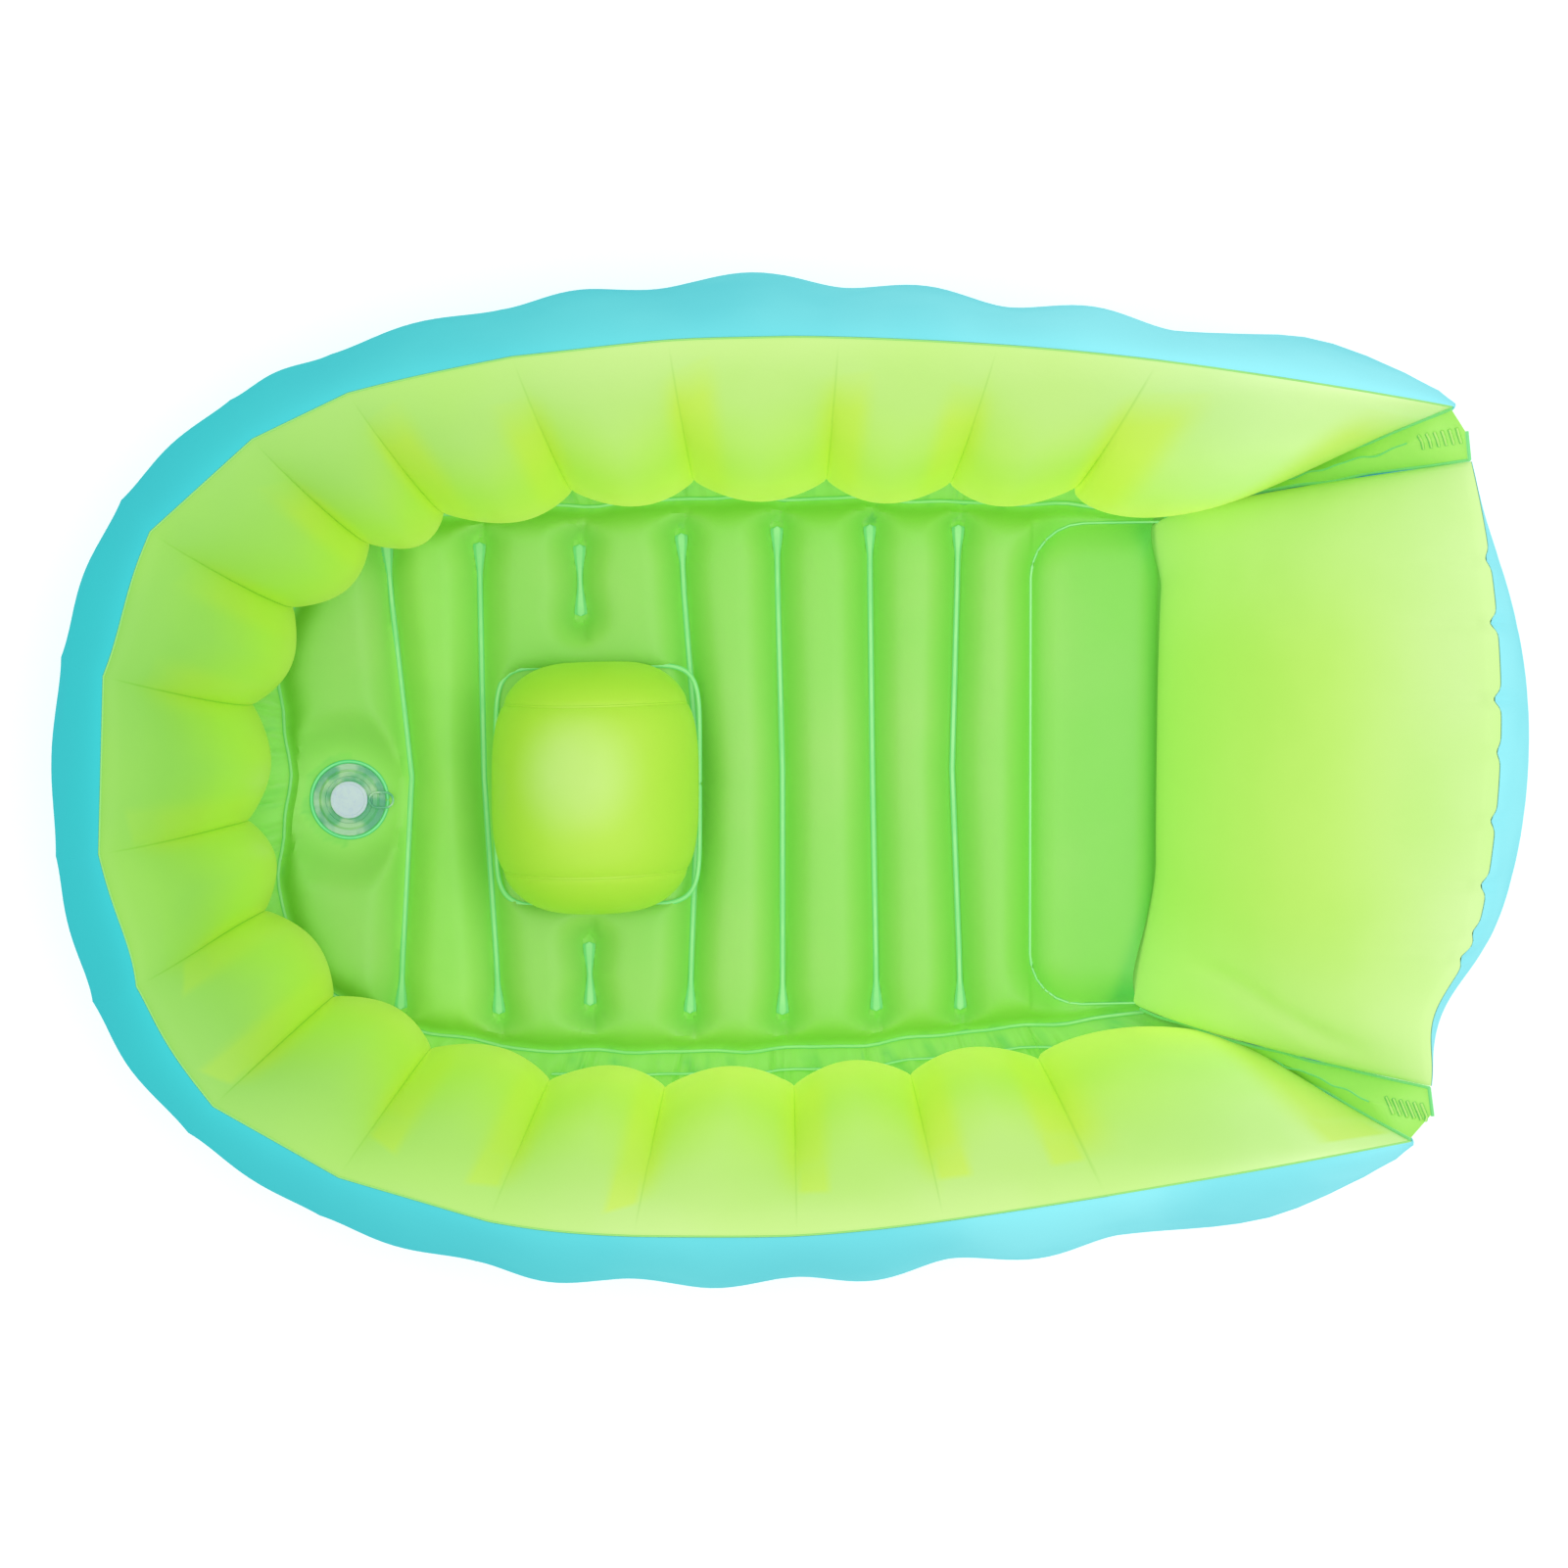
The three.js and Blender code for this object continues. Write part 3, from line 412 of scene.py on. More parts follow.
def webTabMask(tree, web, offset, down):
    # a web's tab lies against the film to one side of its crease, by chance: a clear flap and a soft band
    place = axes(tree, "Object")
    noise = tree.nodes.new("ShaderNodeTexWhiteNoise")
    noise.noise_dimensions = "1D"
    tree.links.new(mathNode(tree, "ADD", web, webTab["seed"]), noise.inputs["W"])
    chance = noise.outputs["Value"]
    wave = mathNode(tree, "SINE", product(tree, offset, 2 * math.pi))
    beside = mathNode(tree, "MULTIPLY_ADD", wave, -0.5 / (2 * math.pi), offset)
    leaning = mathNode(tree, "ROUND", chance)
    leaning = mathNode(tree, "MULTIPLY_ADD", leaning, 2 * webTab["lean"], -webTab["lean"])
    top = mathNode(tree, "MULTIPLY_ADD", chance, webTab["topChance"], webTab["top"])
    slant = mathNode(tree, "MULTIPLY_ADD", chance, webTab["slantChance"], webTab["slant"])
    below = mathNode(tree, "SUBTRACT", down, mathNode(tree, "MULTIPLY_ADD", beside, slant, top))
    away = mathNode(tree, "ABSOLUTE", mathNode(tree, "SUBTRACT", beside, leaning))
    inside = mathNode(tree, "SUBTRACT", webTab["half"], away)
    flap = mathNode(tree, "MULTIPLY", inside, webTab["sideSharpness"], clamp=True)
    under = mathNode(tree, "MULTIPLY", below, webTab["topSharpness"], clamp=True)
    flap = product(tree, flap, under, rangeNode(tree, down, *webTab["flapFade"]),
                   rangeNode(tree, place["Y"], *webTab["leftWallFade"]))
    away = mathNode(tree, "ABSOLUTE", mathNode(tree, "MULTIPLY_ADD", leaning, webTab["bandLean"], beside))
    under = mathNode(tree, "MULTIPLY", below, webTab["bandSharpness"], clamp=True)
    band = product(tree, rangeNode(tree, away, *webTab["bandRange"]), under,
                   rangeNode(tree, down, *webTab["bandFade"]))
    seen = mathNode(tree, "MAXIMUM", flap, band)
    return product(tree, seen, rangeNode(tree, place["X"], *webTab["noseFade"]))


wallTint = {
    # each pair is the colour at the nose, and along the sides
    # painted sheen along the sides near the rim; at the nose this and every colour is painted darker, as
    # painted shade
    "pale": (paint(140, 209, 86), paint(203, 238, 145)),
    "deep": (paint(168, 222, 64), paint(199, 238, 88)),
    # painted light: the tips are painted paler along the sides, lifting the shade under the lobes
    "tip": (paint(168, 203, 68), paint(241, 249, 128)),
    "tab": (paint(186, 222, 56), paint(216, 241, 70)),
    "noseToSide": (-0.49, -0.02),
    "depthRange": (0.3, 0.74),
    "creaseRise": 0.42,      # the deep colour comes further up in the middle of a lobe
    # painted light: paler towards the rear
    "rear": paint(213, 246, 182),
    "rearRange": (0.16, 0.34, 0, 0.65),
    "tipRange": (0.52, 0.86),
    # painted light: paler still at the rear corners
    "corner": paint(232, 255, 190),
    "cornerRange": (0.26, 0.36, 0, 0.7),
    # painted shade: dark lines along the creases at the nose
    "line": paint(116, 196, 48),
    "lineSharpness": -50,
    "lineShare": (-0.36, -0.2, 0.6, 0.25),
    "lineTop": (0.02, 0.2),
    # painted light: a glow down the lobes
    "glowRange": (0.25, 0.8),
    "glow": 0.2,
}


def makeWallLime():
    # painted sheen: pale at the rim along the sides, and yellower down the lobes; painted shade: greener and
    # darker at the nose, with dark lines in its creases; painted light: paler at the tips, towards the rear
    # and at its corners, and a glow down the lobes; web tabs show through by the creases
    material, tree, skin, shader = vinylMaterial("wallLime")
    x, uv = axes(tree, "Object")["X"], axes(tree, "UV")
    down = uv["Y"]
    # painted shade: every colour is darker and greener towards the nose
    along = rangeNode(tree, x, *wallTint["noseToSide"])
    pale, deep, tip, tab = [mixNode(tree, along, *wallTint[name]) for name in ("pale", "deep", "tip", "tab")]
    lobes = product(tree, uv["X"], wall["lobes"])
    web = mathNode(tree, "ROUND", lobes)
    offset = mathNode(tree, "SUBTRACT", lobes, web)
    away = mathNode(tree, "ABSOLUTE", offset)
    depth = mathNode(tree, "SUBTRACT", 0.5, away)
    depth = mathNode(tree, "MULTIPLY_ADD", depth, wallTint["creaseRise"], down)
    tint = mixNode(tree, rangeNode(tree, depth, *wallTint["depthRange"]), pale, deep)
    # painted light towards the rear, at the tips and at the rear corners
    tint = tinted(tree, tint, x, wallTint, "rear")
    tint = mixNode(tree, rangeNode(tree, down, *wallTint["tipRange"]), tint, tip)
    tint = tinted(tree, tint, x, wallTint, "corner")
    tint = mixNode(tree, webTabMask(tree, web, offset, down), tint, tab)
    # painted shade in the nose creases
    line = mathNode(tree, "MULTIPLY_ADD", away, wallTint["lineSharpness"], 1, clamp=True)
    line = product(tree, line, rangeNode(tree, x, *wallTint["lineShare"]),
                   rangeNode(tree, down, *wallTint["lineTop"]))
    tint = mixNode(tree, line, tint, wallTint["line"])
    tree.links.new(tint, skin.inputs["Film"])
    # painted light: a glow down the lobes
    addGlow(tree, shader, tint, rangeNode(tree, down, *wallTint["glowRange"]), wallTint["glow"])
    return material


quiltTint = {
    # by the welds the base shows through, with painted shade; on the tube crowns a painted highlight
    "byWelds": paint(140, 226, 92),
    "onTubes": paint(168, 223, 123),
    "seat": paint(148, 220, 112),
    "seatRange": (0.166, 0.215, 0, 0.75),
    # painted light on the border strip, which lies in the lobes' shade
    "strip": paint(154, 222, 116),
    # painted shade in the border's folds, along the backrest's foot and at its corners
    "fold": paint(84, 196, 106),
    # painted light on the front tube
    "frontTube": paint(178, 238, 122),
    "frontTubeAt": -0.236,
    "frontTubeRange": (0.014, 0.05, 0.75, 0),
    # darker towards the nose
    "nose": paint(104, 210, 70),
    "noseRange": (-0.42, -0.32, 0.3, 0),
    # painted light: a glow in low places
    "glowTint": paint(164, 232, 104),
    "glowRange": (0.001, 0.022, 1, 0.12),
    "glow": 0.2,
}


def makeQuiltGreen():
    # the blue base shows through the film where the two lie close by the welds, deepened there by painted
    # shade, with a painted highlight on the tube crowns; painted shade in the folds and at the backrest's
    # foot; painted light on the border strip, on the front tube and in low places; darker towards the nose
    material, tree, skin, shader = vinylMaterial("quiltGreen")
    place = axes(tree, "Object")
    # the base showing through by the welds with painted shade there, and a painted highlight on the tube
    # crowns
    tint = mixNode(tree, attributeNode(tree, "tone"), quiltTint["byWelds"], quiltTint["onTubes"])
    tint = tinted(tree, tint, place["X"], quiltTint, "seat")
    # painted light on the border strip, painted shade in the folds
    for name in ("strip", "fold"):
        tint = mixNode(tree, attributeNode(tree, name), tint, quiltTint[name])
    away = mathNode(tree, "ABSOLUTE", mathNode(tree, "SUBTRACT", place["X"], quiltTint["frontTubeAt"]))
    # painted light on the front tube
    tint = tinted(tree, tint, away, quiltTint, "frontTube")
    tint = tinted(tree, tint, place["X"], quiltTint, "nose")
    tree.links.new(tint, skin.inputs["Film"])
    # painted light in low places
    low = rangeNode(tree, place["Z"], *quiltTint["glowRange"])
    addGlow(tree, shader, quiltTint["glowTint"], low, quiltTint["glow"])
    return material


pillowTint = {
    "foot": paint(188, 239, 122),
    # painted light: paler up the film, towards the top seam that faces the light
    "middle": paint(204, 243, 124),
    "middleRange": (0.24, 0.33),
    "top": paint(208, 241, 160),
    "topRange": (0.34, 0.44),
    "sides": paint(212, 246, 166),
    "sidesRange": (0.07, 0.17, 0, 0.6),
    # painted light: a glow at the foot, by the seat
    "glowRange": (0.22, 0.34, 1, 0.08),
    "glow": 0.18,
}


def makePillowLime():
    # painted light: deeper low down by the seat and paler up towards the top seam, which faces the light;
    # paler where the film meets the gussets; a painted glow at the foot
    material, tree, skin, shader = vinylMaterial("pillowLime")
    place = axes(tree, "Object")
    tint = tinted(tree, pillowTint["foot"], place["X"], pillowTint, "middle")
    tint = tinted(tree, tint, place["X"], pillowTint, "top")
    tint = tinted(tree, tint, mathNode(tree, "ABSOLUTE", place["Y"]), pillowTint, "sides")
    tree.links.new(tint, skin.inputs["Film"])
    addGlow(tree, shader, tint, rangeNode(tree, place["X"], *pillowTint["glowRange"]), pillowTint["glow"])
    return material


clearFinish = {
    "cloudScale": 60.0,
    "cloudRange": (0.42, 0.62),
    "satinScale": 300.0,
    "satinRange": (0.2, 0.8),
    "satinRise": 0.08,
    "ior": 1.5,
}


# the second colour lies in clouds over the tint; on the clear vinyl they are near white, as painted
# highlights; the glow is painted light
def makeClear(name, tint, cloudsAndHighlights, roughness, transmission, glow=0.0):
    material, tree, shader = newMaterial(name)
    place = tree.nodes.new("ShaderNodeTexCoord").outputs["Object"]
    cloud = rangeNode(tree, noiseNode(tree, place, clearFinish["cloudScale"]), *clearFinish["cloudRange"])
    tree.links.new(mixNode(tree, cloud, tint, cloudsAndHighlights), shader.inputs["Base Color"])
    satin = rangeNode(tree, noiseNode(tree, place, clearFinish["satinScale"]), *clearFinish["satinRange"],
                      roughness, roughness + clearFinish["satinRise"])
    tree.links.new(satin, shader.inputs["Roughness"])
    shader.inputs["Transmission Weight"].default_value = transmission
    shader.inputs["Emission Color"].default_value = tint
    shader.inputs["Emission Strength"].default_value = glow
    shader.inputs["IOR"].default_value = clearFinish["ior"]
    return material


# Pieces

meshing = {
    "weldReach": 0.00002,    # points this close are one: in a film, in small pieces and where sheets join
    "smallReach": 0.000005,
    "joinReach": 0.00005,
    "filmAngle": 50,         # smooth shading stops at edges sharper than this, in degrees
    "turnedAngle": 35,
}


def finishPiece(piece, material, stoodFor=(), body="tub"):
    piece.data.materials.clear()
    piece.data.materials.append(material)
    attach(piece, body)
    if stoodFor:
        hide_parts(*stoodFor)


def activate(piece):
    bpy.ops.object.select_all(action="DESELECT")
    piece.select_set(True)
    bpy.context.view_layer.objects.active = piece


def applyModifier(piece, kind, **values):
    activate(piece)
    modifier = piece.modifiers.new(kind.lower(), kind)
    for name, value in values.items():
        setattr(modifier, name, value)
    bpy.ops.object.modifier_apply(modifier=modifier.name)


def smoothShade(piece, angle=meshing["filmAngle"]):
    activate(piece)
    bpy.ops.object.shade_smooth_by_angle(angle=math.radians(angle))


def editAll(piece, operator, **values):
    activate(piece)
    bpy.ops.object.mode_set(mode="EDIT")
    bpy.ops.mesh.select_all(action="SELECT")
    operator(**values)
    bpy.ops.object.mode_set(mode="OBJECT")


def mergeDoubles(piece, reach):
    editAll(piece, bpy.ops.mesh.remove_doubles, threshold=reach)


def turnOut(piece):
    editAll(piece, bpy.ops.mesh.normals_make_consistent, inside=False)


def gridPiece(name, columns, rows, place, thickness=film["thickness"]):
    # a flat grid is laid down, its points are moved to their places on the film, and it gets thickness
    bpy.ops.object.select_all(action="DESELECT")
    bpy.ops.mesh.primitive_grid_add(x_subdivisions=columns, y_subdivisions=rows, size=1, location=(0, 0, 0))
    piece = bpy.context.object
    piece.name = name
    piece.data.name = name
    flat = np.empty(len(piece.data.vertices) * 3)
    piece.data.vertices.foreach_get("co", flat)
    flat = flat.reshape(-1, 3)
    points = np.column_stack(settle(*place(flat[:, 0] + 0.5, flat[:, 1] + 0.5)))
    piece.data.vertices.foreach_set("co", points.ravel())
    piece.data.update()
    mergeDoubles(piece, meshing["weldReach"])
    if thickness:
        applyModifier(piece, "SOLIDIFY", thickness=thickness, offset=0)
    smoothShade(piece)
    return piece


def turnedPiece(name, profile, matrix, turns=96):
    # a profile of radius and height is screwed once round +Z, then put in its place
    mesh = bpy.data.meshes.new(name)
    edges = [(i, i + 1) for i in range(len(profile) - 1)]
    mesh.from_pydata([(radius, 0, height) for radius, height in profile], edges, [])
    piece = bpy.data.objects.new(name, mesh)
    bpy.context.scene.collection.objects.link(piece)
    applyModifier(piece, "SCREW", steps=turns, render_steps=turns,
                  use_merge_vertices=True, merge_threshold=1e-6)
    mergeDoubles(piece, meshing["smallReach"])
    turnOut(piece)
    piece.data.transform(matrix)
    smoothShade(piece, meshing["turnedAngle"])
    return piece


def joinInto(piece, others):
    bpy.ops.object.select_all(action="DESELECT")
    for other in [*others, piece]:
        other.select_set(True)
    bpy.context.view_layer.objects.active = piece
    bpy.ops.object.join()


def pierce(piece, matrix, radius, depth=0.008, sides=64):
    # a round hole through a film
    bpy.ops.object.select_all(action="DESELECT")
    bpy.ops.mesh.primitive_cylinder_add(vertices=sides, radius=radius, depth=depth)
    cutter = bpy.context.object
    cutter.data.transform(matrix)
    applyModifier(piece, "BOOLEAN", operation="DIFFERENCE", object=cutter, solver="MANIFOLD")
    bpy.data.objects.remove(cutter)


def beadAlong(name, points, radius, sides=8):
    # a thin round bead along a line of points
    curve = bpy.data.curves.new(name, "CURVE")
    curve.dimensions = "3D"
    curve.bevel_depth = radius
    curve.bevel_resolution = sides // 4 - 1
    curve.use_fill_caps = True
    line = curve.splines.new("POLY")
    line.points.add(len(points) - 1)
    for target, point in zip(line.points, np.column_stack(settle(*np.array(points, dtype=float).T))):
        target.co = (*point, 1)
    holder = bpy.data.objects.new(name, curve)
    bpy.context.scene.collection.objects.link(holder)
    activate(holder)
    bpy.ops.object.convert(target="MESH")
    piece = bpy.context.object
    mergeDoubles(piece, meshing["smallReach"])
    turnOut(piece)
    smoothShade(piece)
    return piece


# Rim and stations

rim = {
    "height": 0.28,
    "frontReach": 0.44,
    "rearReach": 0.407,
    "halfWidth": 0.283,
    "rearHalfWidth": 0.231,
    "roundness": 2.6,
    "taperPower": 1.5,
    "frontShare": 0.5,
}
leftWebShares = [0.07, 0.168, 0.254, 0.32, 0.425, 0.522, 0.628, 0.727, 0.826]
rightWebShares = [0.041, 0.126, 0.222, 0.312, 0.409, 0.5, 0.602, 0.694, 0.795]
lastWeb = {1: leftWebShares[-1], -1: rightWebShares[-1]}
webAimShare = 0.42


def rimCurve(share):
    # half of the rim, from the nose to the rear corner
    angle = np.minimum(share / rim["frontShare"], 1) * math.pi / 2
    along = np.maximum((share - rim["frontShare"]) / (1 - rim["frontShare"]), 0)
    power = 2 / rim["roundness"]
    x = np.where(along > 0, rim["rearReach"] * along, -rim["frontReach"] * np.cos(angle) ** power)
    taper = (rim["halfWidth"] - rim["rearHalfWidth"]) * along ** rim["taperPower"]
    y = np.where(along > 0, rim["halfWidth"] - taper, rim["halfWidth"] * np.sin(angle) ** power)
    return x, y


rimShares = np.linspace(0, 1, 601)
rimX, rimY = rimCurve(rimShares)
rimLengths = np.concatenate([[0], np.cumsum(np.hypot(np.diff(rimX), np.diff(rimY)))])


def stationAt(arcShare):
    # the rim's point and the way in at a share of the rim's length; a negative share is on the right side
    share = np.interp(np.abs(arcShare) * rimLengths[-1], rimLengths, rimShares)
    x, y = rimCurve(share)
    inX = (webAimShare - 1) * x
    length = np.hypot(inX, y)
    side = np.where(np.asarray(arcShare) < 0, -1, 1)
    return x, side * y, inX / length, -side * y / length


def stationPoint(station, reach):
    x, y, inX, inY = station
    return x + reach * inX, y + reach * inY


# Wall

wall = {
    "lobes": 19,
    "innerReach": 0.088,
    "innerTuck": 0.038,      # the foot stands back under the lobes
    "tuckPower": 8,
    "outerFoot": 0.018,
    "outerBulge": 0.044,
    "bulgeHeight": 0.13,
    "roundness": 1.75,
    "innerDepth": 0.0165,
    "outerDepth": 0.008,
    "outerNoseShare": 0.6,
    "outerRoundness": 1.8,
    "sway": 0.055,           # the left wall leans in by this share, and the right one leans out
    "swayTop": (0, 0.5),
    "swayFoot": (0.8, 1),
    "lobeRoundness": 0.75,
    "sag": 2,
    "sideFade": (0.16, 0.5),     # along the sides the lobes fade out below the rim
    "noseLobes": 5.6,            # this far to each side of the middle lobe, the rim is a polygon
    "noseFade": 2,
    "normalStep": 0.0017,
    "endFootReach": 0.316,
    "endFootHalfWidth": 0.19,
    "endRakePower": 1.7,
    "shoulderShare": 0.906,
    "cornerBulgeShare": 0.34,
    "endRoundness": 0.6,
    "endSwell": {1: 0.75, -1: 0.35},      # the last lobe sags further over the corner, most on the left
    "endSwellTop": (0.3, 0.6),
    "endSwellFoot": (0.85, 1),
    "endRimFade": (0, 0.4),
    "endFaceBulge": 0.008,
    "borderGap": 0.004,          # from the foot's line to the edge of the sheet that is welded there
    "crowding": 0.5,
    "columnsPerLobe": 24,
    "rows": 46,
}
belly = {
    # how the outer film's belly lies: from the rim, to the foot, along the tub
    "top": (0, 0.4),
    "foot": (0.75, 1),
    "asideShare": 0.8,
    "front": 0.004,
    "frontStart": (-0.38, -0.3),
    "frontEnd": (-0.12, -0.06),
    "slim": 0.0045,
    "slimRange": (0, 0.12),
    "endGap": 0.6,           # of half a lobe, at the wall's ends
}
webPlate = {
    "gap": 0.0006,
    "stop": 1 / 8,           # short of the rim and of the ground, so that air can pass
    "columns": 8,
    "rows": 36,
}
webLine = np.array([1, *leftWebShares[::-1], *[-share for share in rightWebShares], -1])


def innerSection(down):
    angle = np.clip(down, 0, 1) * math.pi / 2
    power = 2 / wall["roundness"]
    reach = mix(film["pitch"] / 2, wall["innerReach"], np.sin(angle) ** power)
    height = mix(film["thirdLevel"], rim["height"], np.abs(np.cos(angle)) ** power)
    return reach - wall["innerTuck"] * np.clip(down, 0, 1) ** wall["tuckPower"], height


def outerSection(down):
    high = np.clip(2 * down, 0, 1) * math.pi / 2
    low = np.clip(2 * down - 1, 0, 1) * math.pi / 2
    power = 2 / wall["roundness"]
    upperReach = mix(-film["pitch"] / 2, -wall["outerBulge"], np.sin(high) ** power)
    upperHeight = mix(wall["bulgeHeight"], rim["height"], np.abs(np.cos(high)) ** power)
    lowerReach = mix(-wall["outerFoot"], -wall["outerBulge"], np.cos(low))
    lowerHeight = mix(wall["bulgeHeight"], film["secondLevel"], np.sin(low))
    return np.where(down > 0.5, lowerReach, upperReach), np.where(down > 0.5, lowerHeight, upperHeight)


def sectionNormal(section, facing, down):
    aheadReach, aheadHeight = section(np.minimum(down + wall["normalStep"], 1))
    reach, height = section(np.maximum(down - wall["normalStep"], 0))
    length = np.hypot(aheadReach - reach, aheadHeight - height)
    return -(aheadHeight - height) / length * facing, (aheadReach - reach) / length * facing


def stepOf(place, count, crowding):
    # the lobe or tube that a place lies in, and the share across it; columns lie closer by the creases
    step = np.clip(np.floor(place + 0.0001), 0, count - 1).astype(int)
    share = np.clip(place - step, 0, 1)
    return step, share - crowding * np.sin(2 * math.pi * share) / (2 * math.pi)


def frontness(lobe):
    # 1 at the nose, where the rim is a polygon with creases up to it, and 0 along the sides
    return np.clip((wall["noseLobes"] - np.abs(lobe - wall["lobes"] // 2)) / wall["noseFade"], 0, 1)


def swayed(reach, inY, down, facing):
    # the inner film leans with its wall, but not at the rim or at the foot
    middle = smooth(*wall["swayTop"], down) * fall(*wall["swayFoot"], down)
    return reach * (1 - wall["sway"] * inY * middle * (facing > 0))


def lobePlace(section, facing, depthAt, roundness, lobe, share, down):
    reach, height = section(down)
    start, end = stationAt(webLine[lobe]), stationAt(webLine[lobe + 1])
    startX, startY = stationPoint(start, swayed(reach, start[3], down, facing))
    endX, endY = stationPoint(end, swayed(reach, end[3], down, facing))
    curved = stationAt(mix(webLine[lobe], webLine[lobe + 1], share))
    curveX, curveY = stationPoint(curved, swayed(reach, curved[3], down, facing))
    chord = frontness(lobe)
    x = mix(curveX, mix(startX, endX, share), chord)
    y = mix(curveY, mix(startY, endY, share), chord)
    inX, inY = mix(start[2], end[2], share), mix(start[3], end[3], share)
    length = np.hypot(inX, inY)
    push = depthAt(lobe, down) * np.sin(math.pi * share) ** roundness
    outReach, outHeight = sectionNormal(section, facing, down)
    x = x + push * outReach * inX / length
    y = y + push * outReach * inY / length
    return x, y, height + push * outHeight


def innerDepth(lobe, down):
    sag = np.sin(math.pi * np.clip(down, 0, 1) ** wall["sag"])
    depth = wall["innerDepth"] * np.clip(sag, 0, 1) ** wall["lobeRoundness"]
    return depth * mix(smooth(*wall["sideFade"], down), 1, frontness(lobe))


def outerDepth(lobe, down):
    depth = wall["outerDepth"] * np.sin(math.pi * np.clip(down, 0, 1))
    return depth * mix(1, wall["outerNoseShare"], frontness(lobe))


def wallEnd(side, height):
    # the seam that ends the wall beside the backrest
    rise = (np.clip(height, 0, None) / rim["height"]) ** wall["endRakePower"]
    y = mix(wall["endFootHalfWidth"], rim["rearHalfWidth"], rise)
    return mix(wall["endFootReach"], rim["rearReach"], rise), side * y


def innerEndPlace(side, share, down):
    reach, height = innerSection(down)
    station = stationAt(side * lastWeb[side])
    startX, startY = stationPoint(station, swayed(reach, station[3], down, 1))
    endX, endY = wallEnd(side, height)
    push = innerDepth(1, down) * np.sin(math.pi * share) ** wall["endRoundness"]
    swell = smooth(*wall["endSwellTop"], down) * fall(*wall["endSwellFoot"], down)
    push = push * (1 + wall["endSwell"][side] * swell)
    rimX, rimY = stationPoint(stationAt(side * mix(lastWeb[side], 1, share)), film["pitch"] / 2)
    chordX, chordY = stationPoint(station, film["pitch"] / 2)
    cornerX, cornerY = wallEnd(side, rim["height"])
    keep = fall(*wall["endRimFade"], down)
    x = mix(startX, endX, share) + push * station[2] + keep * (rimX - mix(chordX, cornerX, share))
    y = mix(startY, endY - side * film["pitch"] / 2, share) + push * station[3]
    y = y + keep * (rimY - mix(chordY, cornerY - side * film["pitch"] / 2, share))
    return x, y, height


def throughPoints(points, share):
    # a smooth centripetal line through points; each point is an array of places
    points = np.array(points)
    first, last = 2 * points[0] - points[1], 2 * points[-1] - points[-2]
    points = np.concatenate([[first], points, [last]])
    count = len(points) - 3
    index = np.clip(np.floor(share * count), 0, count - 1).astype(int)
    weight = (share * count - index)[:, None]
    pick = np.arange(points.shape[1])
    a, b, c, d = [points[index + i, pick] for i in range(4)]
    gap = lambda p, q: np.maximum(np.sum((p - q) ** 2, axis=1) ** 0.25, 1e-6)[:, None]
    before, during, after = gap(a, b), gap(b, c), gap(c, d)
    startWay = ((b - a) / before - (c - a) / (before + during) + (c - b) / during) * during
    endWay = ((c - b) / during - (d - b) / (during + after) + (d - c) / after) * during
    third = 2 * b - 2 * c + startWay + endWay
    second = 3 * c - 3 * b - 2 * startWay - endWay
    return ((third * weight + second) * weight + startWay) * weight + b


def outerEndPlace(side, share, down):
    reach, height = outerSection(down)
    lastX, lastY = stationPoint(stationAt(side * lastWeb[side]), reach)
    shoulder = stationAt(side * wall["shoulderShare"])
    shoulderX, shoulderY = stationPoint(shoulder, reach - outerDepth(0, down))
    cornerX, cornerY = stationPoint(stationAt(side * 1.0), reach * wall["cornerBulgeShare"])
    corner = np.column_stack([cornerX, cornerY, height])
    end = np.column_stack([*wallEnd(side, height), height])
    span = np.linalg.norm(corner - end, axis=1)
    near = np.where(span > film["pitch"], 2 * film["pitch"] / np.maximum(span, film["pitch"]), 1)[:, None]
    seam = mix(end, corner, near)
    bulge = wall["endFaceBulge"] * np.sin(math.pi * down)
    face = mix(corner, seam, 0.5) + np.column_stack([bulge / 2, -side * bulge, 0 * bulge])
    line = [np.column_stack([lastX, lastY, height]), np.column_stack([shoulderX, shoulderY, height]),
            corner, face, seam]
    return throughPoints(line, share).T


def wallPlace(section, facing, depthAt, roundness, endPlace, across, down):
    lobe, share = stepOf(across * wall["lobes"], wall["lobes"], wall["crowding"])
    x, y, z = lobePlace(section, facing, depthAt, roundness, lobe, share, down)
    for side, ended, endShare in ((1, lobe == 0, 1 - share), (-1, lobe == wall["lobes"] - 1, share)):
        endX, endY, endZ = endPlace(side, endShare, down)
        x, y, z = np.where(ended, endX, x), np.where(ended, endY, y), np.where(ended, endZ, z)
    return x, y, z


def innerWallPlace(across, down):
    return wallPlace(innerSection, 1, innerDepth, wall["lobeRoundness"], innerEndPlace, across, down)


def bellyShift(x, y, down):
    # the outer film's belly has stayed where it was when the rim moved aside, and is slimmer to the rear
    middle = smooth(*belly["top"], down) * fall(*belly["foot"], down)
    front = belly["front"] * smooth(*belly["frontStart"], x) * fall(*belly["frontEnd"], x)
    slim = np.sign(y) * belly["slim"] * smooth(*belly["slimRange"], x)
    return -middle * (belly["asideShare"] * asideAt(x) + front + slim)


def outerWallPlace(across, down):
    x, y, z = wallPlace(outerSection, -1, outerDepth, wall["outerRoundness"], outerEndPlace, across, down)
    fromEnd = np.clip(2 * wall["lobes"] * np.minimum(across, 1 - across) - belly["endGap"], 0, 1)
    return x, y + bellyShift(x, y, down) * fromEnd, z


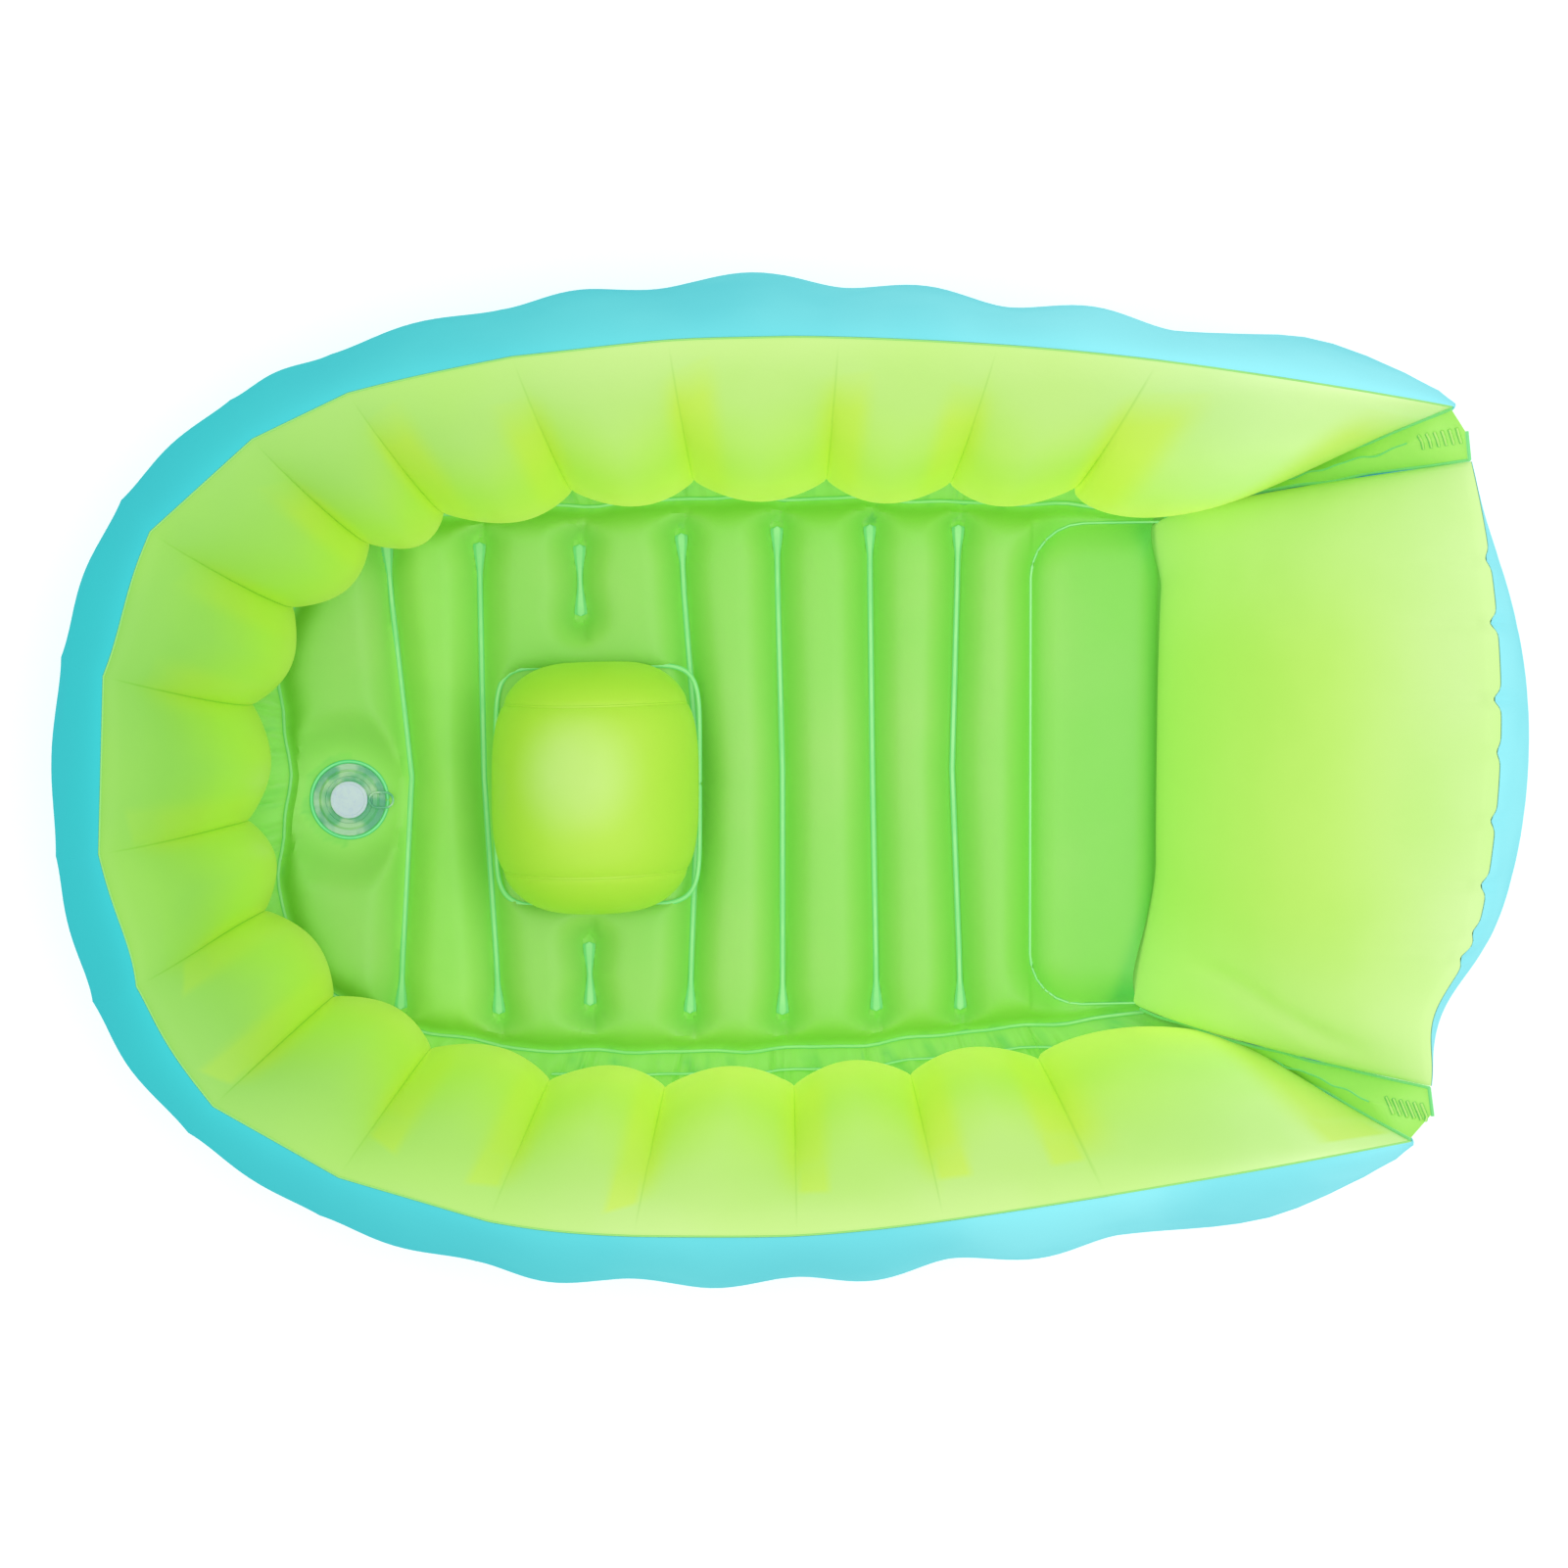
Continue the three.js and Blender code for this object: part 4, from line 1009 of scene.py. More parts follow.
def makeWall():
    columns = wall["lobes"] * wall["columnsPerLobe"]
    inner = gridPiece("inner_wall_film_dressed", columns, wall["rows"], innerWallPlace)
    finishPiece(inner, makeWallLime(), ["inner_wall_film"])
    outer = gridPiece("outer_wall_film_dressed", columns, wall["rows"], outerWallPlace)
    finishPiece(outer, outerBlue, ["outer_wall_film"])
    return outer


def makeWebs():
    # flat plates from film to film
    webClear = makeClear("webClear", paint(214, 234, 154), paint(220, 240, 240), 0.3, 0.3)
    for number, arcShare in enumerate(webLine[1:-1], 1):
        station = stationAt(arcShare)

        def place(across, along):
            down = mix(webPlate["stop"], 1 - webPlate["stop"], along)
            innerReach, innerHeight = innerSection(down)
            outerReach, outerHeight = outerSection(down)
            innerReach = swayed(innerReach, station[3], down, 1)
            reach = mix(innerReach - webPlate["gap"], outerReach + webPlate["gap"], across)
            x, y = stationPoint(station, reach)
            return x, y + bellyShift(x, y, down) * across ** 4, mix(innerHeight, outerHeight, across)
        plate = gridPiece(f"wall_web_{number:02d}_dressed", webPlate["columns"], webPlate["rows"], place)
        finishPiece(plate, webClear, [f"wall_web_{number:02d}"])


outerBlue = makeOuterBlue()
outerFilm = makeWall()
makeWebs()
print("wall films and webs are made")


# Quilted floor

quilt = {
    "perimeter": 0.101,          # reach of the perimeter weld from the rim, less at the blunt corners
    "sideEase": 0.009,           # and less along the sides
    "sideEaseRange": (0.22, 0.42),
    "waver": 0.0022,
    "waverPitch": 0.09,
    "softness": 0.65,            # 0 would be tubes as round as arches
    "cornerReach": 0.033,
    "cornerShare": 0.215,
    "cornerSpread": 0.13,
    "crown": 0.038,
    "level": 0.0107,
    "firstWeld": -0.262,
    "pitch": 0.064,
    "leanHalf": 0.152,           # the welds' leans are given at this half width
    "leanPower": 8,
    "cutWeld": 2,                # the weld that runs under the horn, by its number
    "stubGap": 0.03,
    "puffReach": 0.032,
    "rearPuffReach": 0.03,
    "sharpness": 500,            # of the valleys where two swells meet
    "weldClear": 0.0008,
    "perimeterClear": 0.0016,
    "perimeterPower": 1.3,
    "lineEndGap": 0.014,
    "thinHalf": 0.0019,          # half width of a weld line, and of its drop shaped ends
    "dropHalf": 0.0044,
    "dropLength": 0.024,
    # a ripple's height, pitch and fade, and where it starts
    "weldRipple": (0.0006, 0.013, 0.007, 0.003),
    "edgeRipple": (0.0016, 0.021, 0.012, 0.006),
    "marginRipple": 0.003,
    "marginLength": 2.2,
    "marginPitch": 0.017,
    "foldAside": 0.004,
    "foldDepth": 0.0035,
    "foldHalf": 0.0028,
    "foldStart": 0.004,
    "seatReach": 0.17,
    "seatHalfWidth": 0.166,
    "seatTail": 0.02,
    "seatCrown": 0.027,
    "seatRise": (0.166, 0.196),
    "seatRaise": 0.001,
    "seatPuffReach": 0.042,
    "seatCornerRadius": 0.036,
    "seatCornerSteps": 6,
    "rear": 0.258,
    "rearHalfWidth": 0.16,
    "rearSweep": 0.06,           # share over which the base's outline goes to the backrest's corner
    "rearBowStart": 0.2,
    "rearBowPower": 12,
    "crowding": 0.45,
    "columnsPerTube": 26,
    "rows": 150,
    "marginRows": 6,
}
# The ends of the backrest's foot stand in front of its middle, the right one more.
footBow = {
    "left": 0.01,
    "leftRange": (0.72, 1),
    "right": 0.027,
    "rightRange": (0.4, 1.15),
}
# Each weld's lean from the even pitch at its left end, its middle and its right end. None is quite straight.
weldLeans = [
    (-0.012, 0.005, -0.003),
    (-0.012, -0.009, 0.001),
    (-0.007, -0.003, 0.000),
    (-0.001, 0.011, 0.005),
    (0.001, 0.005, 0.005),
    (0.001, 0.003, 0.006),
    (-0.002, -0.006, 0.000),
]
weldEnds = [
    (0.160, -0.162),
    (0.162, -0.1636),
    (0.162, -0.1567),
    (0.1675, -0.1642),
    (0.1712, -0.1663),
    (0.1707, -0.1655),
    (0.168, -0.167),
]
horn = {
    "centreX": -0.128,
    "centreY": -0.005,
    "halfLength": 0.07,
    "halfWidth": 0.086,
    "top": 0.15,
    "ringLevel": 0.0247,
    "ringRoundness": 7,
    "ringHalfLength": 0.07,
    "ringHalfWidth": 0.0825,
    "puffReach": 0.024,
    "seamShare": 0.66,
    "tuck": 0.45,
    "roundness": 3.1,
    "seamPinch": 0.0016,
    "pinchPower": 12,
}
drain = {
    "x": -0.3,
    "y": -0.017,
    "bore": 0.0208,
    "flatRadius": 0.026,
    "riseReach": 0.052,
    "quietShare": 0.9,
    "quietReach": 0.01,
    "weldRadius": 0.0264,
}


def perimeterPoint(share):
    reach = quilt["perimeter"] - quilt["sideEase"] * smooth(*quilt["sideEaseRange"], share)
    reach = reach + quilt["waver"] * wander(share, quilt["waverPitch"], 3)
    reach = reach - quilt["cornerReach"] * bell(share, quilt["cornerShare"], quilt["cornerSpread"])
    return stationPoint(stationAt(share), reach)


sideShares, noseShares = np.linspace(0.25, 1, 500), np.linspace(0, 0.32, 300)
sideX, sideY = perimeterPoint(sideShares)
noseX, noseY = perimeterPoint(noseShares)
floorHalfWidth = float(np.interp(quilt["firstWeld"], sideX, sideY))
weldKnots = [quilt["firstWeld"] + i * quilt["pitch"] for i in range(len(weldLeans))]
columnKnots = np.array([*weldKnots, quilt["seatReach"], quilt["rear"]])


def leanAt(index, y):
    left, middle, right = weldLeans[index]
    return np.interp(y, [-quilt["leanHalf"], 0, quilt["leanHalf"]], [right, middle, left])


def footBowAt(across):
    left = footBow["left"] * smooth(*footBow["leftRange"], across)
    return np.where(across > 0, left, footBow["right"] * smooth(*footBow["rightRange"], -across))


def floorPlan(along, across):
    # columns follow the welds; before the first weld they fan out to the blunt nose
    side = mix(-1, 1, across)
    place = along * len(columnKnots) - 1
    nose = np.clip(place + 1, 0, 1)
    column, share = stepOf(place, len(columnKnots) - 1, quilt["crowding"])
    x = mix(columnKnots[column], columnKnots[column + 1], share)
    y = side * np.interp(x, sideX, sideY)
    leans = np.array([leanAt(i, y) for i in range(len(weldLeans))] + [0 * y, 0 * y])
    leaning = 1 - np.abs(side) ** quilt["leanPower"]
    pick = np.arange(len(y))
    x = x + mix(leans[column, pick], leans[column + 1, pick], share) * leaning
    bow = smooth(quilt["rearBowStart"], quilt["rear"], x) * (1 - side ** quilt["rearBowPower"])
    x = x - footBowAt(side) * bow
    frontX = np.interp(np.abs(side) * floorHalfWidth, noseY, noseX)
    firstX = quilt["firstWeld"] + leans[0] * leaning
    x = np.where(place < 0, mix(frontX, firstX, nose), x)
    y = np.where(place < 0, side * floorHalfWidth, y)
    return x, y


def awayFromLine(x, y, points):
    # the distance to a line of points, and how far along the line its nearest place is
    best = np.full_like(x, math.inf)
    where = np.zeros_like(x)
    run = 0.0
    for (ax, ay), (bx, by) in zip(points, points[1:]):
        length = math.hypot(bx - ax, by - ay)
        share = np.clip(((x - ax) * (bx - ax) + (y - ay) * (by - ay)) / length ** 2, 0, 1)
        away = np.hypot(x - mix(ax, bx, share), y - mix(ay, by, share))
        closer = away < best
        best = np.where(closer, away, best)
        where = np.where(closer, run + share * length, where)
        run += length
    return best, where, run


def weldLines():
    # each crosswise weld as its own line; the one under the horn is cut into two stubs
    lines = []
    stub = horn["ringHalfWidth"] + quilt["stubGap"]
    for i, knot in enumerate(weldKnots):
        left, right = weldEnds[i]
        spans = [(left, stub), (-stub, right)] if i == quilt["cutWeld"] else [(left, right)]
        for span in spans:
            lines.append([(float(knot + leanAt(i, y)), float(y)) for y in np.linspace(*span, 9)])
    return lines


def dropWidth(where, run):
    fromEnd = np.minimum(where, run - where)
    return mix(quilt["thinHalf"], quilt["dropHalf"], fall(0, quilt["dropLength"], fromEnd))


def seatOutline():
    # the seat panel's seam: straight across, and round at both corners towards the backrest
    radius, half = quilt["seatCornerRadius"], quilt["seatHalfWidth"]
    points = [(quilt["rear"] + quilt["seatTail"], half)]
    for i in range(quilt["seatCornerSteps"] + 1):
        angle = math.pi / 2 * (1 + i / quilt["seatCornerSteps"])
        x = quilt["seatReach"] + radius + radius * math.cos(angle)
        points.append((x, half - radius + radius * math.sin(angle)))
    return points + [(x, -y) for x, y in reversed(points)]


floorWelds = weldLines()
seatSeam = seatOutline()
perimeterPoints = zip(*perimeterPoint(np.linspace(0, 1, 90)))
perimeterLine = [(float(x), float(y)) for x, y in perimeterPoints if x < quilt["rear"]]
perimeterLoop = [(x, -y) for x, y in reversed(perimeterLine[1:])] + perimeterLine


def arch(share):
    return np.sqrt(1 - (1 - np.clip(share, 0, 1)) ** 2)


def puff(share):
    return mix(arch(share), np.sin(math.pi / 2 * np.clip(share, 0, 1)), quilt["softness"])


def rippleBy(away, where, seed, height, pitch, fade, start):
    # fine ripples run off a weld, highest close beside it
    return height * wander(where, pitch, seed) * np.exp(-away / fade) * smooth(0, start, away)


def hornRing(x, y):
    # 1 on the weld round the horn's foot, and more outside it
    ringX = np.abs(x - horn["centreX"]) / horn["ringHalfLength"]
    ringY = np.abs(y - horn["centreY"]) / horn["ringHalfWidth"]
    return (ringX ** horn["ringRoundness"] + ringY ** horn["ringRoundness"]) ** (1 / horn["ringRoundness"])


def floorHeight(x, y):
    # the film puffs up to its crown, and every weld pulls it down
    crown = mix(quilt["crown"], quilt["seatCrown"], smooth(*quilt["seatRise"], x))
    heights = []
    ripple = 0 * x
    for number, line in enumerate(floorWelds):
        away, where, run = awayFromLine(x, y, line)
        away = np.maximum(away - dropWidth(where, run) - quilt["weldClear"], 0)
        heights.append(mix(quilt["level"], crown, puff(away / quilt["puffReach"])))
        ripple = ripple + rippleBy(away, where, number, *quilt["weldRipple"])
    away, where, run = awayFromLine(x, y, seatSeam)
    away = np.maximum(away - quilt["thinHalf"] / 2, 0)
    reach = np.where(x > quilt["seatReach"], quilt["seatPuffReach"], quilt["puffReach"])
    heights.append(mix(quilt["level"] + quilt["seatRaise"], crown, puff(away / reach)))
    away, where, run = awayFromLine(x, y, perimeterLoop)
    ripple = ripple + rippleBy(away, where, 5, *quilt["edgeRipple"])
    rise = arch(np.maximum(away - quilt["perimeterClear"], 0) / quilt["puffReach"])
    heights.append(mix(film["secondLevel"], crown, rise ** quilt["perimeterPower"]))
    rise = arch(np.maximum(quilt["rear"] - x, 0) / quilt["rearPuffReach"])
    heights.append(mix(film["secondLevel"], crown, rise))
    ring = hornRing(x, y)
    away = np.maximum(ring - 1, 0) * horn["ringHalfLength"]
    heights.append(mix(horn["ringLevel"], crown, arch(away / horn["puffReach"])))
    away = np.hypot(x - drain["x"], y - drain["y"])
    rise = smooth(drain["flatRadius"], drain["flatRadius"] + drain["riseReach"], away)
    heights.append(mix(quilt["level"], crown, rise))
    height = -np.log(sum(np.exp(-quilt["sharpness"] * value) for value in heights)) / quilt["sharpness"]
    for line in floorWelds:
        for end, beyond in ((line[0], line[1]), (line[-1], line[-2])):
            outwards = math.copysign(quilt["lineEndGap"], end[1] - beyond[1])
            fold, where, run = awayFromLine(x, y, [end, (end[0] + quilt["foldAside"], end[1] + outwards)])
            dent = bell(fold, 0, quilt["foldHalf"]) * smooth(0, quilt["foldStart"], where)
            height = height - quilt["foldDepth"] * dent
    quiet = smooth(0, drain["quietReach"], away - drain["flatRadius"] * drain["quietShare"]) * (ring > 1)
    return np.maximum(height + ripple * quiet, film["secondLevel"])


def onEdge(along, across):
    nearEnd = np.minimum(along, across) < film["edgeShare"]
    return nearEnd | (np.maximum(along, across) > 1 - film["edgeShare"])


def floorPlace(along, across):
    x, y = floorPlan(along, across)
    return x, y, np.where(onEdge(along, across), film["secondLevel"], floorHeight(x, y))


def marginPlace(columns, rows, outline, level, ripple):
    # a border beyond the perimeter weld, from the rear on the left round the nose to the rear on the right
    count = 2 * columns + rows

    def place(around, out):
        step = around * count
        along = np.where(step < columns, 1 - step / columns, np.clip((step - columns - rows) / columns, 0, 1))
        across = np.clip(1 - (step - columns) / rows, 0, 1)
        x, y = floorPlan(along, across)
        onNose = (step >= columns) & (step <= columns + rows)
        arcShare = np.where(onNose, np.interp(np.abs(y), noseY, noseShares), np.interp(x, sideX, sideShares))
        targetX, targetY = outline(arcShare)
        side = np.where(across > 0.5, 1, -1)
        lift = ripple * (1 + wander(around * quilt["marginLength"], quilt["marginPitch"], 5))
        lift = lift * np.sin(math.pi * out) ** 0.5
        return mix(x, targetX, out), mix(y, side * targetY, out), level + lift
    return count, place


rearShare = float(np.interp(quilt["rear"], sideX, sideShares))
floorEnd = wall["endFootReach"] - wall["borderGap"]


def floorOutline(share):
    # out to the wall's foot, and behind the last web to the foot of the wall's end
    last = lastWeb[-1]
    reach = wall["innerReach"] - wall["innerTuck"] - wall["borderGap"]
    x, y = stationPoint(stationAt(np.minimum(share, last)), reach)
    beyond = np.clip((share - last) / (rearShare - last), 0, 1)
    return mix(x, floorEnd, beyond), mix(y, wall["endFootHalfWidth"], beyond)


def baseOutline(share):
    # out to the outer film's foot, and behind it to the backrest's rear corner
    x, y = stationPoint(stationAt(share), -wall["outerFoot"] - wall["borderGap"])
    beyond = smooth(rearShare - quilt["rearSweep"], rearShare, share)
    cornerX, cornerY = stationPoint(stationAt(1.0), -0.5 * wall["outerFoot"])
    return mix(x, cornerX, beyond), mix(y, cornerY, beyond)


def tuckPlace(along, across):
    # the film goes on under the backrest's front edge
    x, y = floorPlan(np.ones_like(along), across)
    endY = mix(-1, 1, across) * wall["endFootHalfWidth"]
    return mix(x, floorEnd, along), mix(y, endY, along), np.full_like(x, film["secondLevel"])


def floorSheet(name, columns, rows, place, outline, level, ripple, tonguePlace, tongueColumns):
    # the quilted part, the border round it and the tongue behind it become one film, open at the drain
    piece = gridPiece(name, columns, rows, place, thickness=0)
    count, border = marginPlace(columns, rows, outline, level, ripple)
    margin = gridPiece(name + "_margin", count, quilt["marginRows"], border, thickness=0)
    tongue = gridPiece(name + "_tongue", tongueColumns, rows, tonguePlace, thickness=0)
    joinInto(piece, [margin, tongue])
    mergeDoubles(piece, meshing["joinReach"])
    turnOut(piece)
    applyModifier(piece, "SOLIDIFY", thickness=film["thickness"], offset=0)
    smoothShade(piece)
    pierce(piece, Matrix.Translation((drain["x"], drain["y"], quilt["level"])), drain["bore"])
    return piece


toning = {
    "reach": (0.014, 0.024),     # how far from a weld the tone is full, at the nose and behind it
    "reachRange": (-0.21, -0.15),
    "lineStart": -0.008,
    "stubStart": -0.022,
    "stubRun": 0.1,
    # painted shade near the perimeter, under the wall's lobes
    "edge": 0.55,
    "edgeReach": 0.05,
    # painted light round the drain, against the shade of its dip
    "drain": 0.9,
    "drainRange": (0.03, 0.08),
    # painted shade in the folds of the border strip
    "foldPitch": 0.027,
    "foldSlant": 0.6,
    "foldFloor": 0.2,
    "finePitch": 0.011,
    "fineFloor": 0.5,
    "stripGap": 0.004,
    "stripFront": -0.3,
    "stripTop": 0.012,
    "stripStart": 0.004,
    "rear": 0.5,                 # painted shade: the darker line along the backrest's foot, and at its corners
    "rearHalf": 0.007,
    "rearEnd": 0.165,
    "corner": 0.65,
    "cornerPlace": 0.168,
    "cornerHalf": 0.018,
}


def addFloorTones(piece):
    # how close each point of the floor lies to a weld, as the attribute that the film's tint follows, with
    # painted shade near the perimeter and painted light round the drain; also the painted shade of folds and
    # of the backrest's foot, and the border strip, as attributes of their own
    flat = np.empty(len(piece.data.vertices) * 3)
    piece.data.vertices.foreach_get("co", flat)
    x, y, z = flat.reshape(-1, 3).T
    y = y - asideAt(x)
    x = x - turnedAt(x, y)
    tone = np.ones_like(x)
    toneReach = mix(*toning["reach"], smooth(*toning["reachRange"], x))
    for line in [*floorWelds, seatSeam]:
        away, where, run = awayFromLine(x, y, line)
        start = toning["lineStart"] if run > toning["stubRun"] else toning["stubStart"]
        tone = np.minimum(tone, smooth(start, toneReach, away))
    edge, where, run = awayFromLine(x, y, perimeterLoop)
    # painted shade near the perimeter
    tone = tone * mix(toning["edge"], 1, smooth(0, toning["edgeReach"], edge))
    drainAway = np.hypot(x - drain["x"], y - drain["y"])
    # painted light round the drain
    tone = np.maximum(tone, toning["drain"] * fall(*toning["drainRange"], drainAway))
    # painted shade in the border strip's folds
    broad = wander(where + toning["foldSlant"] * edge, toning["foldPitch"], 2) - toning["foldFloor"]
    fine = wander(where, toning["finePitch"], 8) - toning["fineFloor"]
    border = (np.abs(y) > floorHalfWidth - toning["stripGap"]) | (x < toning["stripFront"])
    strip = border * (z < toning["stripTop"]) * smooth(0, toning["stripStart"], edge)
    fold = strip * (np.clip(broad, 0, 1) + np.clip(fine, 0, 1))
    # painted shade along the backrest's foot and at its corners
    behind = np.maximum(quilt["rear"] - footBowAt(y / quilt["rearHalfWidth"]) - x, 0)
    fold = fold + toning["rear"] * bell(behind, 0, toning["rearHalf"]) * (np.abs(y) < toning["rearEnd"])
    corner = np.hypot(behind, np.abs(y) - toning["cornerPlace"])
    fold = fold + toning["corner"] * bell(corner, 0, toning["cornerHalf"])
    for name, values in (("tone", tone), ("fold", fold), ("strip", strip)):
        attribute = piece.data.attributes.new(name, "FLOAT", "POINT")
        attribute.data.foreach_set("value", np.clip(values, 0, 1))


def makeQuilt():
    columns = len(columnKnots) * quilt["columnsPerTube"]
    piece = floorSheet("floor_film_dressed", columns, quilt["rows"], floorPlace, floorOutline,
                       film["secondLevel"], quilt["marginRipple"], tuckPlace, 6)
    addFloorTones(piece)
    finishPiece(piece, makeQuiltGreen(), ["floor_film"])


makeQuilt()
print("quilted floor is made")


ribbon = {
    "wayStep": 0.002,
    "endRadius": 0.002,
    "leastWidth": 0.0004,    # at the very tip, as the square of a share
    "rise": 0.0009,
    "crown": 0.0005,
    "thickness": 0.0003,
    "rows": 6,
}


def ribbonAlong(name, line, halfWidth, level, steps):
    # a flat weld line: thin, a little crowned, with round ends; its half width is even or follows a formula
    points = np.array(line)
    runs = np.concatenate([[0], np.cumsum(np.hypot(*np.diff(points, axis=0).T))])

    def pointAt(where):
        return np.interp(where, runs, points[:, 0]), np.interp(where, runs, points[:, 1])

    def place(along, across):
        where = along * runs[-1]
        x, y = pointAt(where)
        aheadX, aheadY = pointAt(np.minimum(where + ribbon["wayStep"], runs[-1]))
        behindX, behindY = pointAt(np.maximum(where - ribbon["wayStep"], 0))
        wayX, wayY = aheadX - behindX, aheadY - behindY
        length = np.hypot(wayX, wayY)
        fromEnd = np.minimum(np.minimum(where, runs[-1] - where) / ribbon["endRadius"], 1)
        half = halfWidth(where, runs[-1]) if callable(halfWidth) else halfWidth
        half = half * np.sqrt(np.clip(1 - (1 - fromEnd) ** 2, ribbon["leastWidth"], 1))
        side = mix(-1, 1, across)
        z = level + ribbon["rise"] + ribbon["crown"] * (1 - side ** 2)
        return x - side * half * wayY / length, y + side * half * wayX / length, z
    return gridPiece(name, steps, ribbon["rows"], place, thickness=ribbon["thickness"])


floorWeld = {
    "stepLength": 0.0015,
    "seatCornerHalf": 0.0008,
    "seatHalf": 0.0011,
    "seatEnd": 0.14,
    "perimeterHalf": 0.0014,
    "perimeterRise": 0.0012,
    "borderHalf": 0.0009,
    "borderRise": 0.004,
    "borderGap": 0.0155,
    "borderShares": (0.4, 0.93),
    "drainHalf": 0.0011,
}


def makeFloorWelds():
    level, seatLevel = quilt["level"], quilt["level"] + quilt["seatRaise"]
    lines = []
    for number, line in enumerate(floorWelds, 1):
        run = sum(math.dist(a, b) for a, b in zip(line, line[1:]))
        steps = int(run / floorWeld["stepLength"])
        lines.append((f"floor_weld_{number}", line, dropWidth, level, steps, weldTeal))
    corner = seatSeam[:quilt["seatCornerSteps"] + 1]
    for word, line in (("left", corner), ("right", [(x, -y) for x, y in corner])):
        lines.append((f"seat_corner_{word}", line, floorWeld["seatCornerHalf"], seatLevel, 90, weldTeal))
    front = [(x, y) for x, y in seatSeam if x < quilt["seatReach"] + 0.01]
    straight = [(x, y) for x, y in front if abs(y) < floorWeld["seatEnd"]]
    lines.append(("seat_weld", straight, floorWeld["seatHalf"], seatLevel, 120, rimBead))
    edgeLevel = film["secondLevel"] + floorWeld["perimeterRise"]
    lines.append(("perimeter_weld", perimeterLoop, floorWeld["perimeterHalf"], edgeLevel, 700, rimBead))
    x, y = perimeterPoint(np.linspace(*floorWeld["borderShares"], 40))
    foldLevel = film["secondLevel"] + floorWeld["borderRise"]
    for side, word in ((1, "left"), (-1, "right")):
        line = np.column_stack([x, side * (y + floorWeld["borderGap"])])
        lines.append((f"border_fold_{word}", line, floorWeld["borderHalf"], foldLevel, 300, rimBead))
    turns = np.linspace(0, 2 * math.pi, 97)
    line = np.column_stack([drain["x"] + drain["weldRadius"] * np.cos(turns),
                            drain["y"] + drain["weldRadius"] * np.sin(turns)])
    lines.append(("drain_weld", line, floorWeld["drainHalf"], level, 240, drainTeal))
    for name, line, halfWidth, height, steps, material in lines:
        finishPiece(ribbonAlong(name, line, halfWidth, height, steps), material)


weldTint = {
    # painted shade at the weld's edges
    "edge": paint(74, 190, 110),
    "edgeShare": 0.5,
    # painted highlight along its middle
    "core": paint(214, 250, 216),
    "coreShare": 0.3,
    "coreRange": (0.16, 0.34, 1, 0),
    # painted light: a glow over the whole weld
    "glow": 0.2,
}


def weldMaterial(name):
    # a weld is solid vinyl; its middle is a painted highlight and its edges painted shade, and all of it has
    # a painted glow
    material, tree, skin, shader = vinylMaterial(name)
    aside = mathNode(tree, "ABSOLUTE", mathNode(tree, "SUBTRACT", axes(tree, "UV")["Y"], 0.5))
    edge, core = [mixNode(tree, weldTint[part + "Share"], vinyls[name][0], weldTint[part])
                  for part in ("edge", "core")]
    tint = mixNode(tree, rangeNode(tree, aside, *weldTint["coreRange"]), edge, core)
    tree.links.new(tint, skin.inputs["Film"])
    tree.links.new(skin.outputs["Color"], shader.inputs["Emission Color"])
    shader.inputs["Emission Strength"].default_value = weldTint["glow"]
    return material


weldTeal = weldMaterial("weldTeal")
drainTeal = weldMaterial("drainTeal")
rimBead = weldMaterial("rimBead")
rimEdge = vinylMaterial("rimEdge")[0]
barPale = vinylMaterial("barPale")[0]
barRim = vinylMaterial("barRim")[0]
makeFloorWelds()
print("floor welds are laid")


# Base film, under everything

pillow = {
    "footReach": 0.262,
    "footHalfWidth": 0.16,
    "topReach": 0.451,
    "topHeight": 0.27,
    "cornerReach": 0.422,
    "cornerHalfWidth": 0.197,
    "rearFootReach": 0.446,
    "rearFootHalfWidth": 0.182,
    "rearFootSweep": 0.016,
    "frontBulge": 0.048,
    "rearBulge": 0.041,
    "sideBulge": 0.002,
    "flarePower": 0.5,
    "roundness": 2.6,
    "rearRoundness": 2.2,
    "footFullness": 0.55,
    "rearFullness": 0.8,
    "sideStart": 0.04,
    "sideShare": 0.3,        # of the rear film's columns, for each side edge
    "puckers": [0.69, 0.486, 0.241, 0.072, -0.147, -0.354, -0.505, -0.586],   # shares of the top's half width
    "puckerDepths": [0.6, 1.0, 1.0, 0.5, 0.7, 0.9, 0.6, 0.8],
    "puckerWidth": 0.0046,
    "rightDent": 0.015,      # the top seam is drawn in before the right corner
    "dentAt": -0.78,
    "dentHalf": 0.17,
    "dentStart": 0.35,
    "rearSlack": 0.12,       # the rear film is a little slack halfway up
    "slackAt": 0.43,
    "slackHalf": 0.14,
    "scallop": 0.0045,
    "scallopStart": 0.9,
    "crease": 0.006,         # a pucker's depth in the front film, and how far it runs down
    "creaseFade": 0.022,
    "creaseStart": 0.005,
    "wing": 0.0035,          # a long soft crease towards the right corner
    "wingAt": -0.75,
    "wingLean": -0.16,
    "wingLeanRange": (0.3, 0.85),
    "wingHalf": 0.045,
    "wingStart": (0.2, 0.4),
    "wingEnd": (0.7, 0.95),
    "rearCrease": 0.003,
    "rearCreaseFade": 0.07,
    "rearCreaseStart": 0.02,
}


base = {
    "dentReach": 0.012,      # how far from a weld the film is drawn up
    "clearHalfLength": 0.1,  # under the horn it lies flat
    "clearHalfWidth": 0.12,
    "columnsPerTube": 12,
    "rows": 70,
    "cornerPower": 6,
}


